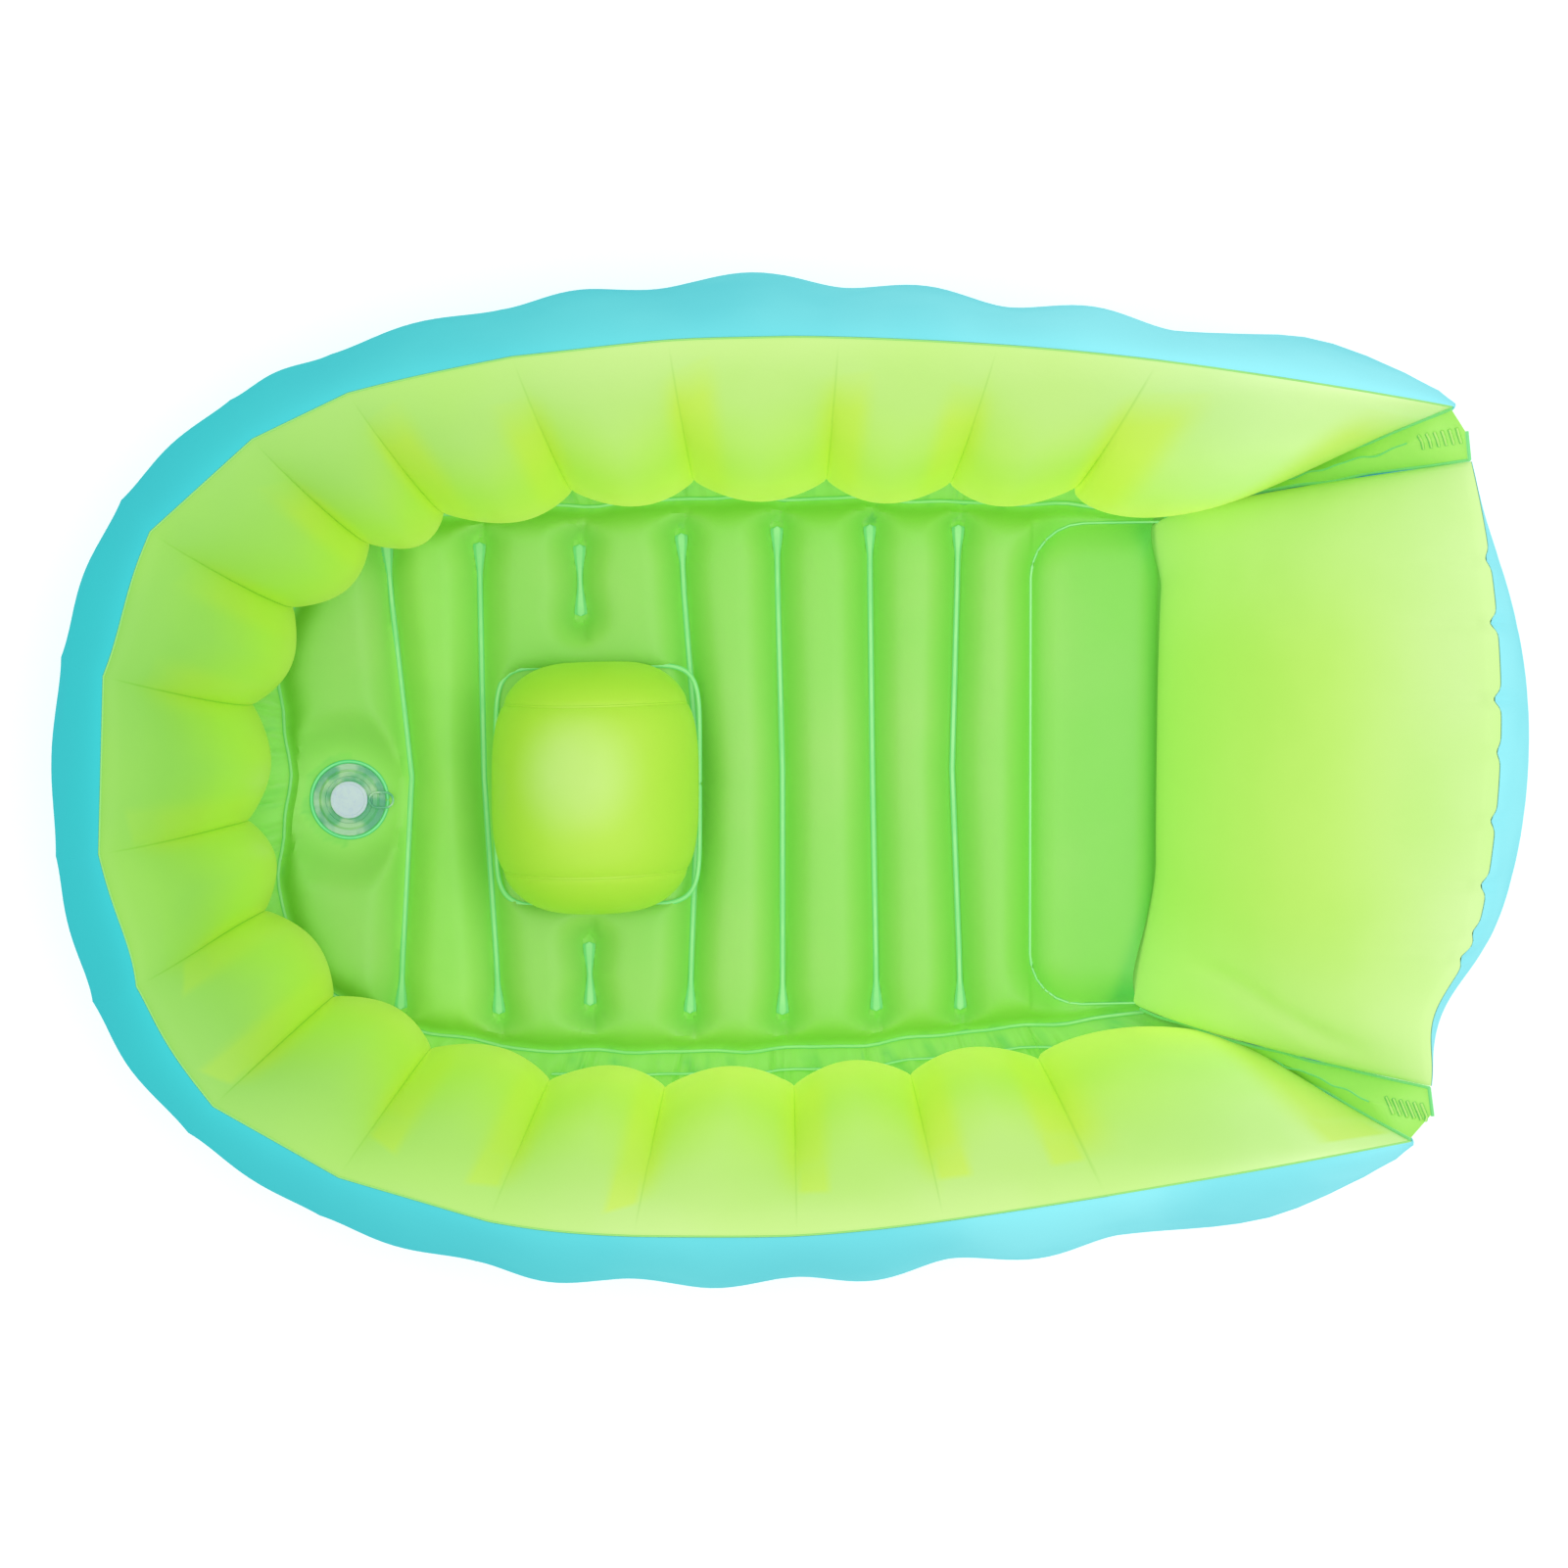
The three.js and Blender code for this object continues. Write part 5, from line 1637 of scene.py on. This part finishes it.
def baseHeight(x, y):
    away = [awayFromLine(x, y, line)[0] for line in floorWelds]
    away.append(np.maximum(np.hypot(x - drain["x"], y - drain["y"]) - drain["flatRadius"], 0))
    flatness = arch(np.minimum.reduce(away) / base["dentReach"])
    lift = mix(quilt["level"] - film["pitch"], film["baseLevel"], flatness)
    edge = np.minimum(awayFromLine(x, y, perimeterLoop)[0] / base["dentReach"], 1)
    ring = np.hypot((x - horn["centreX"]) / base["clearHalfLength"], y / base["clearHalfWidth"])
    return np.where(ring < 1, film["baseLevel"], mix(film["baseLevel"], lift, edge))


def basePlace(along, across):
    x, y = floorPlan(along, across)
    return x, y, np.where(onEdge(along, across), film["baseLevel"], baseHeight(x, y))


def rearPlace(along, across):
    # the base behind the floor's quilting, back to the backrest's rear foot
    frontX, frontY = floorPlan(np.ones_like(along), across)
    side = mix(-1, 1, across)
    cornerX, cornerY = stationPoint(stationAt(1.0), -0.5 * wall["outerFoot"])
    backX = pillow["rearFootReach"] + np.minimum(wall["borderGap"] - pillow["rearFootSweep"] * side ** 2, 0)
    x = mix(frontX, mix(backX, cornerX, np.abs(side) ** base["cornerPower"]), along)
    return x, mix(frontY, side * cornerY, along), np.full_like(x, film["baseLevel"])


def makeBase():
    columns = len(columnKnots) * base["columnsPerTube"]
    piece = floorSheet("base_film_dressed", columns, base["rows"], basePlace, baseOutline,
                       film["baseLevel"], 0.0, rearPlace, 24)
    finishPiece(piece, vinylMaterial("baseBlue")[0], ["base_film"])


makeBase()
print("base film is made")


# Saddle horn

def hornPlace(across, along):
    # across from -1 to 1 over the whole width, along the arch from the front foot to the rear one
    away = np.abs(across)
    scale = np.clip(1 - away ** horn["roundness"], 0, 1) ** (1 / horn["roundness"])
    near = np.where(away < horn["seamShare"], away / horn["seamShare"], (1 - away) / (1 - horn["seamShare"]))
    pinch = horn["seamPinch"] * np.clip(near, 0, 1) ** horn["pinchPower"]
    angle = mix(-horn["tuck"], math.pi + horn["tuck"], along)
    tuck = math.sin(horn["tuck"])
    rise = (np.sin(angle) + tuck) / (1 + tuck)
    x = horn["centreX"] - (horn["halfLength"] * scale - pinch) * np.cos(angle)
    y = horn["centreY"] + across * horn["halfWidth"]
    return x, y, horn["ringLevel"] + ((horn["top"] - horn["ringLevel"]) * scale - pinch) * rise


def hornPanel(name, start, end, columns, node):
    piece = gridPiece(name, columns, 96, lambda across, along: hornPlace(mix(start, end, across), along))
    finishPiece(piece, hornLime, [node])


hornTint = {
    # painted highlight on top
    "top": paint(200, 233, 134),
    "sides": paint(189, 229, 82),
    "highlightPlace": (-0.138, 0.004, 0.14),
    "topRange": (0.012, 0.052, 1, 0),
    "glowTint": paint(190, 236, 84),
    # painted light: a glow low down
    "glowRange": (0.05, 0.14, 1, 0.2),
    "glow": 0.08,
}


def makeHornLime():
    # painted highlight: paler on top, to the front; a painted glow lifts the low sides
    material, tree, skin, shader = vinylMaterial("hornLime")
    away = tree.nodes.new("ShaderNodeVectorMath")
    away.operation = "DISTANCE"
    tree.links.new(tree.nodes.new("ShaderNodeTexCoord").outputs["Object"], away.inputs[0])
    away.inputs[1].default_value = hornTint["highlightPlace"]
    tint = tinted(tree, hornTint["sides"], away.outputs["Value"], hornTint, "top")
    tree.links.new(tint, skin.inputs["Film"])
    low = rangeNode(tree, axes(tree, "Object")["Z"], *hornTint["glowRange"])
    addGlow(tree, shader, hornTint["glowTint"], low, hornTint["glow"])
    return material


hornLime = makeHornLime()
seamHalf = film["pitch"] / 2 / horn["halfWidth"]
seamInner, seamOuter = horn["seamShare"] - seamHalf, horn["seamShare"] + seamHalf
hornPanel("horn_centre_dressed", -seamInner, seamInner, 90, "horn_centre_panel")
hornPanel("horn_left_dressed", seamOuter, 1, 40, "horn_left_panel")
hornPanel("horn_right_dressed", -1, -seamOuter, 40, "horn_right_panel")


hornWeld = {
    "seamRadius": 0.0009,
    "seamRise": 0.0002,
    "seamEnd": 0.02,         # of the seam's length is left free at both feet
    "ringHalf": 0.0016,
}


def makeHornWelds():
    shares = np.linspace(hornWeld["seamEnd"], 1 - hornWeld["seamEnd"], 90)
    for side, word in ((1, "left"), (-1, "right")):
        x, y, z = hornPlace(np.full_like(shares, side * horn["seamShare"]), shares)
        line = np.column_stack([x, y, z + hornWeld["seamRise"]])
        finishPiece(beadAlong(f"horn_seam_{word}", line, hornWeld["seamRadius"]), hornLime)
    turns = np.linspace(0, 2 * math.pi, 161)
    power = 2 / horn["ringRoundness"]
    ringX = horn["ringHalfLength"] * np.sign(np.cos(turns)) * np.abs(np.cos(turns)) ** power
    ringY = horn["ringHalfWidth"] * np.sign(np.sin(turns)) * np.abs(np.sin(turns)) ** power
    line = np.column_stack([horn["centreX"] + ringX, horn["centreY"] + ringY])
    ring = ribbonAlong("horn_ring_weld", line, hornWeld["ringHalf"], horn["ringLevel"], 480)
    finishPiece(ring, weldTeal)


makeHornWelds()
print("saddle horn is made")


# Backrest pillow

def puckerAt(across):
    half = pillow["puckerWidth"] / pillow["cornerHalfWidth"]
    puckers = zip(pillow["puckers"], pillow["puckerDepths"])
    return sum(depth * bell(across, share, half) for share, depth in puckers)


def pillowOutline(across, up):
    foot = pillow["footReach"] - footBowAt(across)
    x = mix(foot, mix(pillow["topReach"], pillow["cornerReach"], across ** 2), up)
    x = x - pillow["scallop"] * puckerAt(across) * smooth(pillow["scallopStart"], 1, up)
    dent = bell(across, pillow["dentAt"], pillow["dentHalf"]) * smooth(pillow["dentStart"], 1, up)
    y = across * mix(pillow["footHalfWidth"], pillow["cornerHalfWidth"], up ** pillow["flarePower"])
    return x - pillow["rightDent"] * dent, y, mix(film["thirdLevel"], pillow["topHeight"], up)


facingRise, facingRun = pillow["topHeight"] - film["thirdLevel"], pillow["topReach"] - pillow["footReach"]
facingLength = math.hypot(facingRise, facingRun)
facingX, facingZ = -facingRise / facingLength, facingRun / facingLength


def pillowFrontPlace(acrossShare, up):
    across = mix(1, -1, acrossShare)
    x, y, z = pillowOutline(across, up)
    crown = np.sqrt(np.clip(1 - np.abs(across) ** pillow["roundness"], 0, 1))
    push = pillow["frontBulge"] * crown * np.abs(np.sin(math.pi * up)) ** pillow["footFullness"]
    fromTop = (1 - up) * facingLength
    crease = puckerAt(across) * np.exp(-fromTop / pillow["creaseFade"])
    crease = crease * smooth(0, pillow["creaseStart"], fromTop)
    wingAt = pillow["wingAt"] + pillow["wingLean"] * smooth(*pillow["wingLeanRange"], up)
    wing = bell(across, wingAt, pillow["wingHalf"])
    wing = wing * smooth(*pillow["wingStart"], up) * fall(*pillow["wingEnd"], up)
    push = push - pillow["crease"] * crease - pillow["wing"] * wing
    return x + facingX * push, y, z + facingZ * push


def pillowFoot(across):
    x = pillow["rearFootReach"] - pillow["rearFootSweep"] * across ** 2
    return x, across * pillow["rearFootHalfWidth"]


def pillowRearPlace(acrossShare, down):
    # up one side edge, along the top seam and down the other side edge
    sideShare = pillow["sideShare"]
    left, right = acrossShare < sideShare, acrossShare > 1 - sideShare
    onSide = left | right
    side = np.where(left, 1.0, -1.0)
    up = mix(pillow["sideStart"], 1, np.where(left, acrossShare, 1 - acrossShare) / sideShare)
    up = np.clip(up, 0, 1)
    backAcross = np.clip(mix(1, -1, (acrossShare - sideShare) / (1 - 2 * sideShare)), -1, 1)
    across = np.where(onSide, side, backAcross)
    topX, topY, topZ = pillowOutline(across, np.where(onSide, up, 1.0))
    topX, topZ = topX - facingX * film["pitch"], topZ - facingZ * film["pitch"]
    cornerX, cornerY = pillowFoot(side)
    backX, backY = pillowFoot(across)
    sideY = side * mix(pillow["footHalfWidth"], pillow["rearFootHalfWidth"], up ** pillow["flarePower"])
    footX = np.where(onSide, mix(pillow["footReach"], cornerX, up), backX)
    footY = np.where(onSide, sideY, backY)
    pushX = np.where(onSide, 0, pillow["rearBulge"] * (1 - np.abs(across) ** pillow["rearRoundness"]))
    pushY = np.where(onSide, side * pillow["sideBulge"], pillow["sideBulge"] * across ** 3)
    fullness = np.abs(np.sin(math.pi * down)) ** pillow["rearFullness"]
    fullness = fullness * (1 - pillow["rearSlack"] * bell(down, pillow["slackAt"], pillow["slackHalf"]))
    pucker = np.where(onSide, 0, puckerAt(across))
    fade = np.exp(-down / pillow["rearCreaseFade"])
    crease = pillow["rearCrease"] * pucker * fade * smooth(0, pillow["rearCreaseStart"], down)
    # the puckers draw the seam in, and the film is smooth again below them
    eased = pillow["scallop"] * pucker * (1 - down) * (1 - fade)
    x = mix(topX, footX, down) + eased + pushX * fullness - crease
    y = mix(topY, footY, down) + pushY * fullness
    return x, y, mix(topZ, film["secondLevel"], down)


def makePillow():
    front = gridPiece("backrest_front_dressed", 220, 120, pillowFrontPlace)
    finishPiece(front, makePillowLime(), ["backrest_front_film"])
    rear = gridPiece("backrest_rear_dressed", 300, 60, pillowRearPlace)
    finishPiece(rear, outerBlue, ["backrest_rear_film"])
    return rear


pillowRear = makePillow()
print("backrest pillow is made")


# Corner gussets

gusset = {
    "foot": 0.015,
    "foldShare": 0.45,
    "foldStart": (-0.02, 0.12),
    "edgeGap": 0.0012,
    "puff": 0.003,
    "puffLeast": 0.4,        # the rest of the puff comes and goes down the fold
    "puffLength": 0.17,
    "puffPitch": 0.055,
    "puffAhead": 0.5,
    "puffUp": 0.8,
    "puffStart": (0.06, 0.16),
    "puffEnd": (0.6, 0.8),
    "endBow": {1: 0.005, -1: 0.009},
    "endBowRange": (0, 0.07),
    "seamRadius": 0.001,
    "seamRise": 0.0006,
    "seamSway": 0.0012,
    "seamLength": 0.2,
    "seamPitch": 0.06,
    "seamSwayStart": (0.05, 0.3),
    "foldRadius": 0.0006,
    "foldRise": 0.0004,
    "foldSway": 0.0016,
    "foldPitch": 0.3,
    "foldSpan": (0.12, 0.75),
    "endRadius": 0.0012,
    "endShares": (-0.12, 0.3, 0.7, 1.0),
    "bars": 6,
    "barSpan": 0.6,
    "barFirst": 0.0045,
    "barPitch": 0.0041,
    "barReach": 0.3,
    "barLean": 0.0065,
    "barRise": 0.0012,
    "barRadius": 0.0008,
    "barRimDrop": 0.001,
    "barRimRadius": 0.0013,
}


def gussetEdges(side, down):
    height = mix(rim["height"] - gusset["edgeGap"], gusset["foot"], down)
    wallX, wallY = wallEnd(side, height)
    wallY = wallY - side * gusset["edgeGap"]
    backHeight = mix(pillow["topHeight"] - gusset["edgeGap"], gusset["foot"], down)
    up = (backHeight - film["thirdLevel"]) / (pillow["topHeight"] - film["thirdLevel"])
    backX, backY, backZ = pillowOutline(np.full_like(down, side), up)
    return np.array([wallX, wallY, height]), np.array([backX, backY + side * gusset["edgeGap"], backZ])


def gussetFold(side, down):
    # folded forward along the middle, but straight across at the very top and at the foot
    wallEdge, backEdge = gussetEdges(side, down)
    fold = mix(wallEdge, backEdge, 0.5)
    width = np.abs(backEdge[1] - wallEdge[1])
    push = width * gusset["foldShare"] * (1 - down) * smooth(*gusset["foldStart"], down)
    fold[0] = fold[0] - push + gusset["endBow"][side] * fall(*gusset["endBowRange"], down)
    return fold


def gussetPlace(side):
    def place(across, down):
        wallEdge, backEdge = gussetEdges(side, down)
        half = np.where(across < 0.5, 2 * across, 2 - 2 * across)
        edge = np.where(across < 0.5, wallEdge, backEdge)
        point = mix(edge, gussetFold(side, down), half)
        uneven = wander(down * gusset["puffLength"], gusset["puffPitch"], side + across.round())
        swell = gusset["puff"] * np.sin(math.pi * half) * mix(gusset["puffLeast"], 1, uneven)
        swell = swell * smooth(*gusset["puffStart"], down) * fall(*gusset["puffEnd"], down)
        return point[0] + gusset["puffAhead"] * swell, point[1], point[2] + gusset["puffUp"] * swell
    return place


def makeGussetSeams(side, word):
    downs = np.linspace(0, 1, 80)
    wallEdge, backEdge = gussetEdges(side, downs)
    for (x, y, z), part, inwards in ((wallEdge, "wall", -1), (backEdge, "backrest", 1)):
        sway = wander(downs * gusset["seamLength"], gusset["seamPitch"], side + inwards)
        sway = gusset["seamSway"] * sway * smooth(*gusset["seamSwayStart"], downs)
        line = np.column_stack([x, y + side * sway, z + gusset["seamRise"]])
        seam = beadAlong(f"{word}_gusset_{part}_seam", line, gusset["seamRadius"])
        finishPiece(seam, rimBead)
    # painted shade: a darker teal bead along the fold's crease
    x, y, z = gussetFold(side, np.linspace(*gusset["foldSpan"], 60))
    sway = gusset["foldSway"] * wander(np.linspace(0, 1, 60), gusset["foldPitch"], side)
    line = np.column_stack([x, y + sway, z + gusset["foldRise"]])
    finishPiece(beadAlong(f"{word}_gusset_fold_shade", line, gusset["foldRadius"]), weldTeal)
    tip, corner = gussetFold(side, np.array([0.0])).T[0], backEdge[:, 0]
    line = [mix(tip, corner, share) for share in gusset["endShares"]]
    finishPiece(beadAlong(f"{word}_gusset_end_seam", line, gusset["endRadius"]), weldTeal)


def makeGussetBars(side, word):
    bars, rims = [], []
    downs = np.linspace(0, gusset["barSpan"], 300)
    fold = gussetFold(side, downs)
    wallEdge, backEdge = gussetEdges(side, downs)
    for i in range(gusset["bars"]):
        barX = fold[0, 0] - gusset["barFirst"] - i * gusset["barPitch"]
        line = []
        for aside in np.linspace(-gusset["barReach"], gusset["barReach"], 5):
            # the place on the film, this far from the fold, where the bar runs straight as seen from above
            points = mix(fold, wallEdge if aside < 0 else backEdge, abs(aside))
            x = barX + side * gusset["barLean"] * aside
            line.append([np.interp(-x, -points[0], values) for values in points])
        line = np.array(line) + (0, 0, gusset["barRise"])
        bars.append(beadAlong(f"{word}_bar_{i}", line, gusset["barRadius"]))
        line = line - (0, 0, gusset["barRimDrop"])
        rims.append(beadAlong(f"{word}_bar_rim_{i}", line, gusset["barRimRadius"]))
    for group, part, material in ((bars, "weld_bars", barPale), (rims, "weld_bar_rims", barRim)):
        joinInto(group[0], group[1:])
        group[0].name = f"{word}_gusset_{part}"
        finishPiece(group[0], material)


def makeGussets():
    gussetGreen = vinylMaterial("gussetGreen")[0]
    for side, word in ((1, "left"), (-1, "right")):
        piece = gridPiece(f"{word}_gusset_dressed", 48, 90, gussetPlace(side))
        finishPiece(piece, gussetGreen, [f"{word}_corner_gusset"])
        makeGussetSeams(side, word)
        makeGussetBars(side, word)


rimSeam = {
    "pointsPerLobe": 20,
    "radius": 0.0006,
    "rise": 0.0002,
}


def makeRimSeam():
    across = np.linspace(0, 1, wall["lobes"] * rimSeam["pointsPerLobe"] + 1)
    x, y, z = innerWallPlace(across, np.zeros_like(across))
    line = np.column_stack([x, y, z + rimSeam["rise"]])
    finishPiece(beadAlong("rim_weld", line, rimSeam["radius"]), rimEdge)


makeGussets()
makeRimSeam()
print("gussets and rim seam are made")


# Fittings: the drain and the two air valves

fitting = {
    "bore": 0.0114,
    "neck": 0.0205,
    "flange": 0.025,
    "foot": 0.001,
    "flangeLow": 0.0112,
    "flangeTop": 0.0124,
    "collarTop": 0.0144,
    "grooveDepth": 0.0011,
    "grooveOuter": 0.0165,
    "grooveInner": 0.0131,
    "grooveSlope": 0.0005,
    "disc": 0.01275,
    "discLow": 0.0147,
    "discTop": 0.0163,
    "discRim": 0.0018,
    "pegOuter": 0.011,
    "pegInner": 0.0094,
    "pegEnd": 0.0077,
    "round": 0.0003,         # edges are rounded by this much, and softer ones by the next
    "soft": 0.0004,
    "loopReach": 0.0222,
    "loopStretch": 0.003,
    "loopRadius": 0.0052,
    "loopHeight": 0.0155,
    "loopBead": 0.0008,
}


def ringProfile():
    f = fitting
    edge, soft, groove = f["round"], f["soft"], f["collarTop"] - f["grooveDepth"]
    return [
        (f["bore"], f["foot"]),
        (f["neck"], f["foot"]),
        (f["neck"], f["flangeLow"]),
        (f["flange"] - edge, f["flangeLow"]),
        (f["flange"], f["flangeLow"] + edge),
        (f["flange"], f["flangeTop"] - soft),
        (f["flange"] - soft, f["flangeTop"]),
        (f["neck"] + 2 * edge, f["flangeTop"]),
        (f["neck"] - 0.0002, f["flangeTop"] + 0.0007),
        (f["neck"] - 0.0012, f["collarTop"]),
        (f["grooveOuter"], f["collarTop"]),
        (f["grooveOuter"] - f["grooveSlope"], groove),
        (f["grooveInner"] + f["grooveSlope"], groove),
        (f["grooveInner"], f["collarTop"]),
        (f["bore"] + edge, f["collarTop"]),
        (f["bore"], f["collarTop"] - edge),
        (f["bore"], f["foot"]),
    ]


def plugProfile():
    f = fitting
    edge, soft, dish = f["round"], f["soft"], f["discTop"] - f["soft"]
    return [
        (0, f["discLow"]),
        (f["pegInner"], f["discLow"]),
        (f["pegInner"], f["pegEnd"]),
        (f["pegOuter"] - edge, f["pegEnd"]),
        (f["pegOuter"], f["pegEnd"] + edge),
        (f["pegOuter"], f["discLow"]),
        (f["disc"] - edge, f["discLow"]),
        (f["disc"], f["discLow"] + edge),
        (f["disc"], dish),
        (f["disc"] - soft, f["discTop"]),
        (f["disc"] - f["discRim"], f["discTop"]),
        (f["disc"] - f["discRim"] - soft, dish),
        (0, dish),
    ]


def makeDrain():
    place = Matrix.Translation((drain["x"], drain["y"], 0))
    ring = turnedPiece("drain_ring_dressed", ringProfile(), place)
    finishPiece(ring, clearVinyl, ["drain_ring"])
    plug = turnedPiece("drain_plug_dressed", plugProfile(), place)
    finishPiece(plug, milkyVinyl, ["drain_plug"], body="drain_plug")
    turns = np.linspace(0, 2 * math.pi, 73)
    stretch = fitting["loopStretch"] * np.where(np.cos(turns) > 0, 1, -1)
    x = drain["x"] + fitting["loopReach"] + stretch + fitting["loopRadius"] * np.cos(turns)
    y = drain["y"] + fitting["loopRadius"] * np.sin(turns)
    line = np.column_stack([x, y, np.full_like(x, fitting["loopHeight"])])
    bead = beadAlong("drain_plug_loop", line, fitting["loopBead"], 12)
    finishPiece(bead, clearVinyl, body="drain_plug")


# painted highlights: near white clouds on the clear vinyl; painted light: both vinyls glow a little
clearVinyl = makeClear("clearVinyl", paint(128, 208, 186), paint(226, 244, 240), 0.08, 0.45, 0.06)
milkyVinyl = makeClear("milkyVinyl", paint(206, 210, 252), paint(212, 216, 255), 0.25, 0.0, 0.12)
makeDrain()


valve = {
    # heights from the film's middle, along the way out
    "bore": 0.004,
    "tube": 0.0055,
    "tubeEnd": -0.012,
    "flange": 0.013,
    "flangeLow": 0.0005,
    "flangeTop": 0.0015,
    "pierced": 0.0058,
    "plugGap": 0.0003,
    "plugRise": 0.002,
    "plug": 0.008,
    "pegLength": 0.008,
    "pegEnd": 0.0031,
    "peg": 0.0036,
    "strapReach": 0.0098,
    "strapArc": 0.0022,
    "strapRise": 0.0004,
    "strapRadius": 0.0007,
    "lobe": 15,              # the fourth lobe from the rear on the right side
    "wallDown": 0.625,
    "backDown": 0.75,
    "turns": 64,
    "step": 0.002,           # in shares, to find the way out of the film
}


def valveFrame(place, first, second, outside):
    # the way out of a film at a point of it
    near = lambda a, b: Vector([float(value[0]) for value in place(np.array([a]), np.array([b]))])
    firstWay = near(first + valve["step"], second) - near(first - valve["step"], second)
    secondWay = near(first, second + valve["step"]) - near(first, second - valve["step"])
    outward = firstWay.cross(secondWay).normalized()
    if outward.dot(outside) < 0:
        outward.negate()
    sideways = Vector((0, 0, 1)).cross(outward).normalized()
    above = outward.cross(sideways)
    turn = Matrix((above, -sideways, outward)).transposed().to_4x4()
    return Matrix.Translation(near(first, second)) @ turn


def stemProfile():
    bore, tube, end, top = valve["bore"], valve["tube"], valve["tubeEnd"], valve["flangeTop"]
    return [
        (bore, end),
        (tube, end),
        (tube, valve["flangeLow"]),
        (valve["flange"], valve["flangeLow"]),
        (valve["flange"], valve["flangeLow"] + 0.0004),
        (valve["flange"] - 0.0008, top - 0.0001),
        (tube + 0.002, top),
        (tube + 0.0013, top + 0.0002),
        (bore + 0.0003, top + 0.0002),
        (bore, top),
        (bore, end),
    ]


def valvePlugProfile(low):
    radius, high = valve["plug"], low + valve["plugRise"]
    return [
        (0, low - valve["pegLength"]),
        (valve["pegEnd"], low - valve["pegLength"]),
        (valve["peg"], low),
        (radius - 0.0002, low),
        (radius, low + 0.0003),
        (radius, high - 0.0006),
        (radius - 0.0006, high),
        (radius - 0.0018, high),
        (radius - 0.0022, high - 0.0004),
        (0, high - 0.0004),
    ]


def makeValve(prefix, matrix):
    stem = turnedPiece(f"{prefix}_stem_dressed", stemProfile(), matrix, valve["turns"])
    finishPiece(stem, clearVinyl, [f"{prefix}_stem"])
    low = valve["flangeTop"] + valve["plugGap"]
    plug = turnedPiece(f"{prefix}_plug_dressed", valvePlugProfile(low), matrix, valve["turns"])
    arc = []
    for angle in np.linspace(0, math.pi, 17):
        x = valve["strapArc"] * math.cos(angle) - valve["strapReach"]
        arc.append(matrix @ Vector((x, 0, low + valve["strapRise"] + valve["strapArc"] * math.sin(angle))))
    strap = beadAlong(f"{prefix}_plug_strap", arc, valve["strapRadius"])
    joinInto(plug, [strap])
    finishPiece(plug, milkyVinyl, [f"{prefix}_plug"], body=f"{prefix}_plug")


wallValve = valveFrame(outerWallPlace, (valve["lobe"] + 0.5) / wall["lobes"], valve["wallDown"],
                       Vector((0, -1, 0)))
backValve = valveFrame(pillowRearPlace, 0.5, valve["backDown"], Vector((1, 0, 0)))
for prefix, matrix, skin in (("wall_valve", wallValve, outerFilm), ("backrest_valve", backValve, pillowRear)):
    pierce(skin, matrix, valve["pierced"])
    makeValve(prefix, matrix)
print("fittings are made")


for name, node in packed.items():
    if not node.hide_render:
        node.data.materials.clear()
        node.data.materials.append(clearVinyl)
print("the packed pieces that stay have their finishes")
